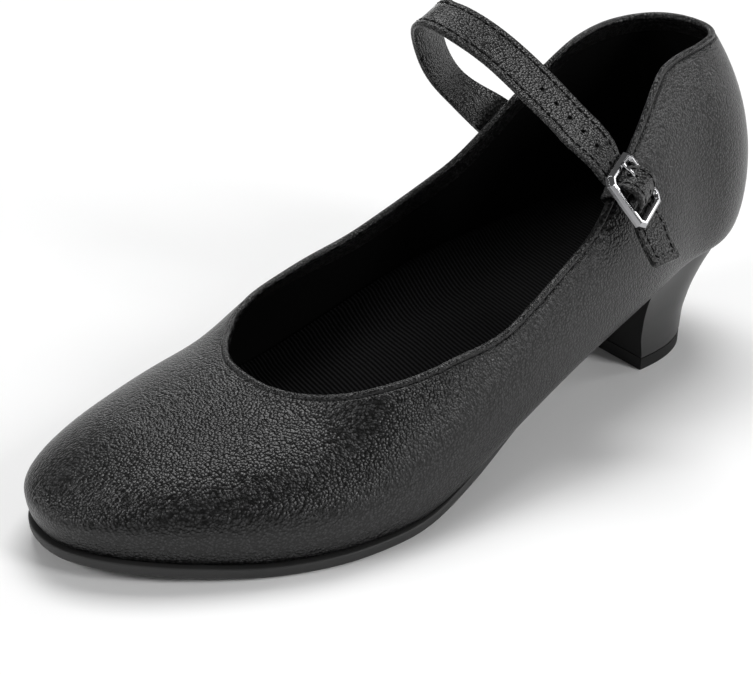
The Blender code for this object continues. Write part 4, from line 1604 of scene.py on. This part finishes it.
@dataclass
class Strap:
    """The instep strap: two layers of leather, stitched along both edges, with its punched holes."""

    last: Last
    finishes: Finishes
    buckle: Buckle
    width: float = 0.0140
    thickness: float = 0.0018
    sewn_across: tuple[float, float, float] = (0.04, 0.83, 0.55)
    hump_half: float = 0.0018
    hump_share: float = 0.93
    prong_through: float = -0.0033
    hole_radius: float = 0.75 * MM
    hole_pitch: float = 0.0060
    holes: int = 6
    first_before: float = 0.0086
    first_after: float = 0.0062
    slot_stretch: float = 2.4
    stitch_in: float = 2.1 * MM
    tail_corner: float = 1.6 * MM
    crown: float = 0.12 * MM
    steps: int = 360

    def rows(self) -> Points:
        """Lays out the strap's middle line, from its sewn end over the loop to its tail.

        Returns:
            For each place its point, the way across and the share of the width.
        """
        half, gap = self.thickness / 2, self.last.clearance
        sewn = [self.last.off_skin(place, Side.INNER.value, half + 3 * gap) for place in SEWN]
        rows = [(*point, *self.sewn_across, 1.0) for point in sewn]
        rows += [(*self.last.place(*row[:3]), row.lean, 1.0, row.rise, 1.0) for row in LOOP]
        _, wide_way, _ = self.buckle.axes()
        under = -(self.buckle.bar_depth / 2 + half + gap)
        over = self.buckle.pin_radius + 2 * self.buckle.prong_radius + 2 * gap + half
        bar = (self.buckle.long - self.buckle.bar_width) / 2
        cupped = (self.buckle.wide - 2 * self.buckle.bar_width - 2 * gap) / self.width
        half_bar = self.buckle.bar_width / 2
        top = over * self.hump_share
        passes = ((-bar - half_bar, under, 1.0), (-bar + half_bar, under, cupped))
        passes += ((-self.hump_half, top, cupped), (self.hump_half, top, cupped))
        passes += ((bar - half_bar, under, cupped), (bar + half_bar, under, 1.0))
        rows += [(*self.buckle.place(run, lift), *wide_way, share) for run, lift, share in passes]
        rows += [(*self.last.place(*row[:3]), row.lean, 1.0, row.rise, 1.0) for row in TAIL]
        return np.array(rows)

    def band(self) -> Band:
        """Lays out the strap, narrowed at its end to round the tail's corners.

        Returns:
            The strip.
        """
        band = band_through(self.rows(), self.steps, self.width / 2)
        length = lengths_along(band.points)
        left = np.minimum(length[-1] - length, self.tail_corner)
        cut = self.tail_corner - np.sqrt(self.tail_corner**2 - (self.tail_corner - left) ** 2)
        return band._replace(half=band.half - cut)

    def build(self) -> list[bpy.types.Object]:
        """Makes the strap with its holes, and its stitching.

        Returns:
            The pieces.
        """
        band = self.band()
        top = self.thickness / 2
        groove = self.stitch_in
        profile = [
            (-groove - 0.9 * MM, top),
            (-groove - 0.35 * MM, top - 0.05 * MM),
            (-groove, top - 0.24 * MM),
            (-groove + 0.35 * MM, top - 0.05 * MM),
            (-groove + 0.9 * MM, top + 0.02 * MM),
            (-0.5 * MM, top - 0.03 * MM),
            (-0.16 * MM, top - 0.15 * MM),
            (0.0, top - 0.4 * MM),
            (-0.02 * MM, 0.12 * MM),
            (-0.2 * MM, 0.0),
            (-0.02 * MM, -0.12 * MM),
            (0.0, -top + 0.35 * MM),
            (-0.16 * MM, -top + 0.1 * MM),
            (-0.6 * MM, -top),
        ]
        right = [(1, inset, lift) for inset, lift in profile]
        left = [(-1, inset, lift) for inset, lift in reversed(profile)]
        vertices, faces = band.sweep([(0, 0.0, top + self.crown), *right, (0, 0.0, -top), *left])
        finishes = [self.finishes.strap_leather, self.finishes.edge]
        piece = make_object("instep_strap", vertices, faces, finishes, sharp=50.0)
        self.punch(piece, band)
        settle(piece, ["strap"])
        return [piece, self.stitching(band)]

    def punch(self, piece: bpy.types.Object, band: Band) -> None:
        """Cuts the row of holes and the prong's slot.

        Args:
            piece: the strap.
            band: the strip that it follows.
        """
        points, ways, out, _ = band
        run_way, _, _ = self.buckle.axes()
        offset = points - self.last.place(*self.buckle.centre)
        near = np.linalg.norm(offset, axis=1) < self.buckle.long
        through = int(np.argmin(np.where(near, np.abs(offset @ run_way - self.prong_through), 1.0)))
        length = lengths_along(points)
        before = [-self.first_before - k * self.hole_pitch for k in range(self.holes)]
        places = [0.0, self.first_after, *before]
        sides = 20
        angles = np.arange(sides) * 2 * math.pi / sides
        vertices, faces = [], []
        for number, place in enumerate(places):
            here = length[through] + place
            at = np.array([np.interp(here, length, points[:, k]) for k in range(3)])
            index = int(np.argmin(np.abs(length - here)))
            stretch = self.slot_stretch if number == 0 else 1.0
            run = np.cross(ways[index], out[index])
            for lift in (-2.0 * self.thickness, 2.0 * self.thickness):
                ring = at + out[index] * lift + np.outer(np.cos(angles) * self.hole_radius * stretch, run)
                vertices.append(ring + np.outer(np.sin(angles) * self.hole_radius, ways[index]))
            first = 2 * sides * number
            faces += [tuple(first + i for i in face) for face in ring_faces(2, sides, closed=False)]
            faces += [tuple(range(first, first + sides)), tuple(range(first + sides, first + 2 * sides))]
        cutter = make_object("punches", np.concatenate(vertices), faces, [self.finishes.edge])
        cut = piece.modifiers.new("punched", "BOOLEAN")
        cut.operation = "DIFFERENCE"
        cut.object = cutter
        cut.solver = "EXACT"
        apply_modifiers(piece, 40.0)
        bpy.data.objects.remove(cutter)

    def stitching(self, band: Band) -> bpy.types.Object:
        """Makes the line of stitches along both edges and across the tail's end.

        Args:
            band: the strip that the strap follows.

        Returns:
            The stitches, as one piece.
        """
        points, ways, out, half = band
        lift = self.thickness / 2 - 0.10 * MM
        left = lengths_along(points)[-1] - lengths_along(points)
        keep = left > self.stitch_in + 0.2 * MM
        reach = (half - self.stitch_in)[keep, None]
        one = points[keep] + ways[keep] * reach + out[keep] * lift
        other = points[keep] - ways[keep] * reach + out[keep] * lift
        path = np.concatenate([one, other[::-1]])
        values = {"Pitch": 2.7 * MM, "Length": 1.9 * MM, "Width": 0.62 * MM, "Seed": 5}
        values["Finish"] = self.finishes.thread
        piece = stitch_tree().run("strap_stitches", [path], False, values)
        return settle(piece)


@dataclass
class Tab:
    """The leather tab that carries the buckle: from inside the collar, over its edge and round the pin."""

    last: Last
    finishes: Finishes
    buckle: Buckle
    width: float = 0.0080
    thickness: float = 0.0009
    turn: float = 0.446
    wall: float = 0.0018
    steps: int = 90

    def build(self) -> bpy.types.Object:
        """Makes the tab.

        Returns:
            The piece.
        """
        last, gap, half = self.last, self.last.clearance, self.thickness / 2
        side = Side.OUTER.value
        step = 0.01
        edge_way = unit(last.wall(self.turn - step, 1.0, side) - last.wall(self.turn + step, 1.0, side))
        rise = last.wall(self.turn, 1.0, side) - last.wall(self.turn, 1.0 - step, side)
        out = unit(np.cross(rise, -edge_way))
        rows = [(*last.off_skin(p, side, -self.wall - 3 * gap - half), *edge_way, 1.0) for p in TAB_INSIDE]
        edge = last.wall(self.turn, 1.0, side) - out * self.wall / 2
        rows.append((*(edge + unit(np.cross(out, edge_way)) * (half + 5 * gap)), *edge_way, 1.0))
        curl = self.buckle.pin_radius + 1.5 * gap + half
        _, wide_way, _ = self.buckle.axes()
        for angle in np.radians(np.arange(-80.0, 101.0, 20.0)):
            rows.append((*self.buckle.place(curl * math.cos(angle), curl * math.sin(angle)), *wide_way, 1.0))
        band = band_through(np.array(rows), self.steps, self.width / 2)
        rim = 0.15 * MM
        edge_profile = [(-rim, half), (0.0, half - rim), (0.0, rim - half), (-rim, -half)]
        profile = [(1, inset, lift) for inset, lift in edge_profile]
        profile += [(-1, inset, -lift) for inset, lift in edge_profile]
        vertices, faces = band.sweep(profile)
        piece = make_object("leather_tab", vertices, faces, [self.finishes.strap_leather], sharp=60.0)
        return settle(piece, ["buckle_tab"])


@dataclass(frozen=True)
class Viewpoint:
    """The camera, at the photograph's angle. The picture is taken as 753 by 675 pixels."""

    azimuth: float = 50.248
    elevation: float = 29.132
    roll: float = 0.861
    distance: float = 0.44809
    target: tuple[float, float, float] = (0.0, -0.0835, 0.030)
    target_pixel: tuple[float, float] = (433.25, 325.16)
    pixels_per_metre: float = 3393.0
    picture: tuple[int, int] = (753, 675)
    sensor: float = 36.0

    def build(self) -> bpy.types.Object:
        """Makes the camera and hands it to the scene.

        Returns:
            The camera.
        """
        azimuth, elevation, roll = (math.radians(v) for v in (self.azimuth, self.elevation, self.roll))
        back = Vector(
            (
                math.sin(azimuth) * math.cos(elevation),
                -math.cos(azimuth) * math.cos(elevation),
                math.sin(elevation),
            )
        )
        level = Vector((math.cos(azimuth), math.sin(azimuth), 0.0))
        upright = back.cross(level)
        right = level * math.cos(roll) + upright * math.sin(roll)
        up = upright * math.cos(roll) - level * math.sin(roll)
        data = bpy.data.cameras.new("camera")
        width, height = self.picture
        data.sensor_width = self.sensor
        data.lens = self.pixels_per_metre * self.distance * self.sensor / width
        data.shift_x = (width / 2 - self.target_pixel[0]) / width
        data.shift_y = (self.target_pixel[1] - height / 2) / width
        data.clip_start = 0.01
        camera = bpy.data.objects.new("camera", data)
        turned = Matrix((right, up, back)).transposed().to_4x4()
        turned.translation = Vector(self.target) + back * self.distance
        camera.matrix_world = turned
        bpy.context.scene.collection.objects.link(camera)
        bpy.context.scene.camera = camera
        return camera


@dataclass(frozen=True)
class Softbox:
    """One area light: where it stands, what it looks at, its size in metres and its power in watts."""

    name: str
    place: tuple[float, float, float]
    aim: tuple[float, float, float]
    size: tuple[float, float]
    power: float

    def build(self) -> bpy.types.Object:
        """Makes the light.

        Returns:
            The light.
        """
        data = bpy.data.lights.new(self.name, "AREA")
        data.shape = "RECTANGLE"
        data.size, data.size_y = self.size
        data.energy = self.power
        light = bpy.data.objects.new(self.name, data)
        light.location = self.place
        away = Vector(self.place) - Vector(self.aim)
        light.rotation_euler = away.to_track_quat("Z", "Y").to_euler()
        bpy.context.scene.collection.objects.link(light)
        return light


@dataclass(frozen=True)
class Studio:
    """The pale floor, the soft lights, a sky that darkens upwards, and the camera."""

    floor_half: float = 1.3
    sky: tuple[float, float, float, float] = (0.04, 0.22, 0.95, 0.16)
    middle: tuple[float, float, float] = (0.0, -0.09, 0.04)

    def build(self) -> None:
        """Makes the studio round the shoe."""
        half = self.floor_half
        corners = [(-half, -half, 0.0), (half, -half, 0.0), (half, half, 0.0), (-half, half, 0.0)]
        w = Wiring("pale_floor")
        cloud = w.noise(4.0, 2.0)
        finish = w.finish(w.tint(cloud, grey(0.90), grey(0.93)), 0.8)
        floor = make_object("floor", np.array(corners), [(0, 1, 2, 3)], [finish])
        if floor.data.polygons[0].normal.z < 0:
            floor.data.flip_normals()
        boxes = (
            Softbox("overhead", (-0.60, 0.50, 2.10), self.middle, (1.4, 1.0), 36.0),
            Softbox("right", (1.10, 0.35, 0.75), self.middle, (0.36, 0.50), 7.0),
            Softbox("toe", (-0.30, -1.20, 0.80), self.middle, (0.40, 0.30), 5.0),
            Softbox("left", (-1.15, 0.36, 0.30), self.middle, (0.26, 0.18), 0.7),
            Softbox("behind", (0.45, 1.15, 0.47), self.middle, (0.40, 0.30), 2.4),
        )
        for box in boxes:
            box.build()
        self.light_sky()
        bpy.context.scene.view_settings.view_transform = "Standard"
        Viewpoint().build()

    def light_sky(self) -> None:
        """Makes the sky, brightest at the horizon."""
        world = bpy.data.worlds.new("studio")
        world.use_nodes = True
        nodes, links = world.node_tree.nodes, world.node_tree.links
        background = nodes["Background"]
        background.inputs["Color"].default_value = (1.0, 1.0, 1.0, 1.0)
        height = nodes.new("ShaderNodeSeparateXYZ")
        links.new(nodes.new("ShaderNodeTexCoord").outputs["Generated"], height.inputs["Vector"])
        fade = nodes.new("ShaderNodeMapRange")
        links.new(height.outputs["Z"], fade.inputs["Value"])
        for name, value in zip(("From Min", "From Max", "To Min", "To Max"), self.sky):
            fade.inputs[name].default_value = value
        links.new(fade.outputs["Result"], background.inputs["Strength"])
        bpy.context.scene.world = world


def main() -> None:
    """Builds the shoe piece by piece, then the studio."""
    logging.basicConfig(level=logging.INFO, format="%(name)s: %(message)s")
    last = Last()
    finishes = Finishes()
    buckle = Buckle(last, finishes)
    steps: tuple[Callable[[], object], ...] = (
        Upper(last, finishes).build,
        Bottom(last, finishes).build,
        Strap(last, finishes, buckle).build,
        buckle.build,
        Tab(last, finishes, buckle).build,
        Studio().build,
    )
    for step in steps:
        step()


if __name__ == "__main__":
    main()
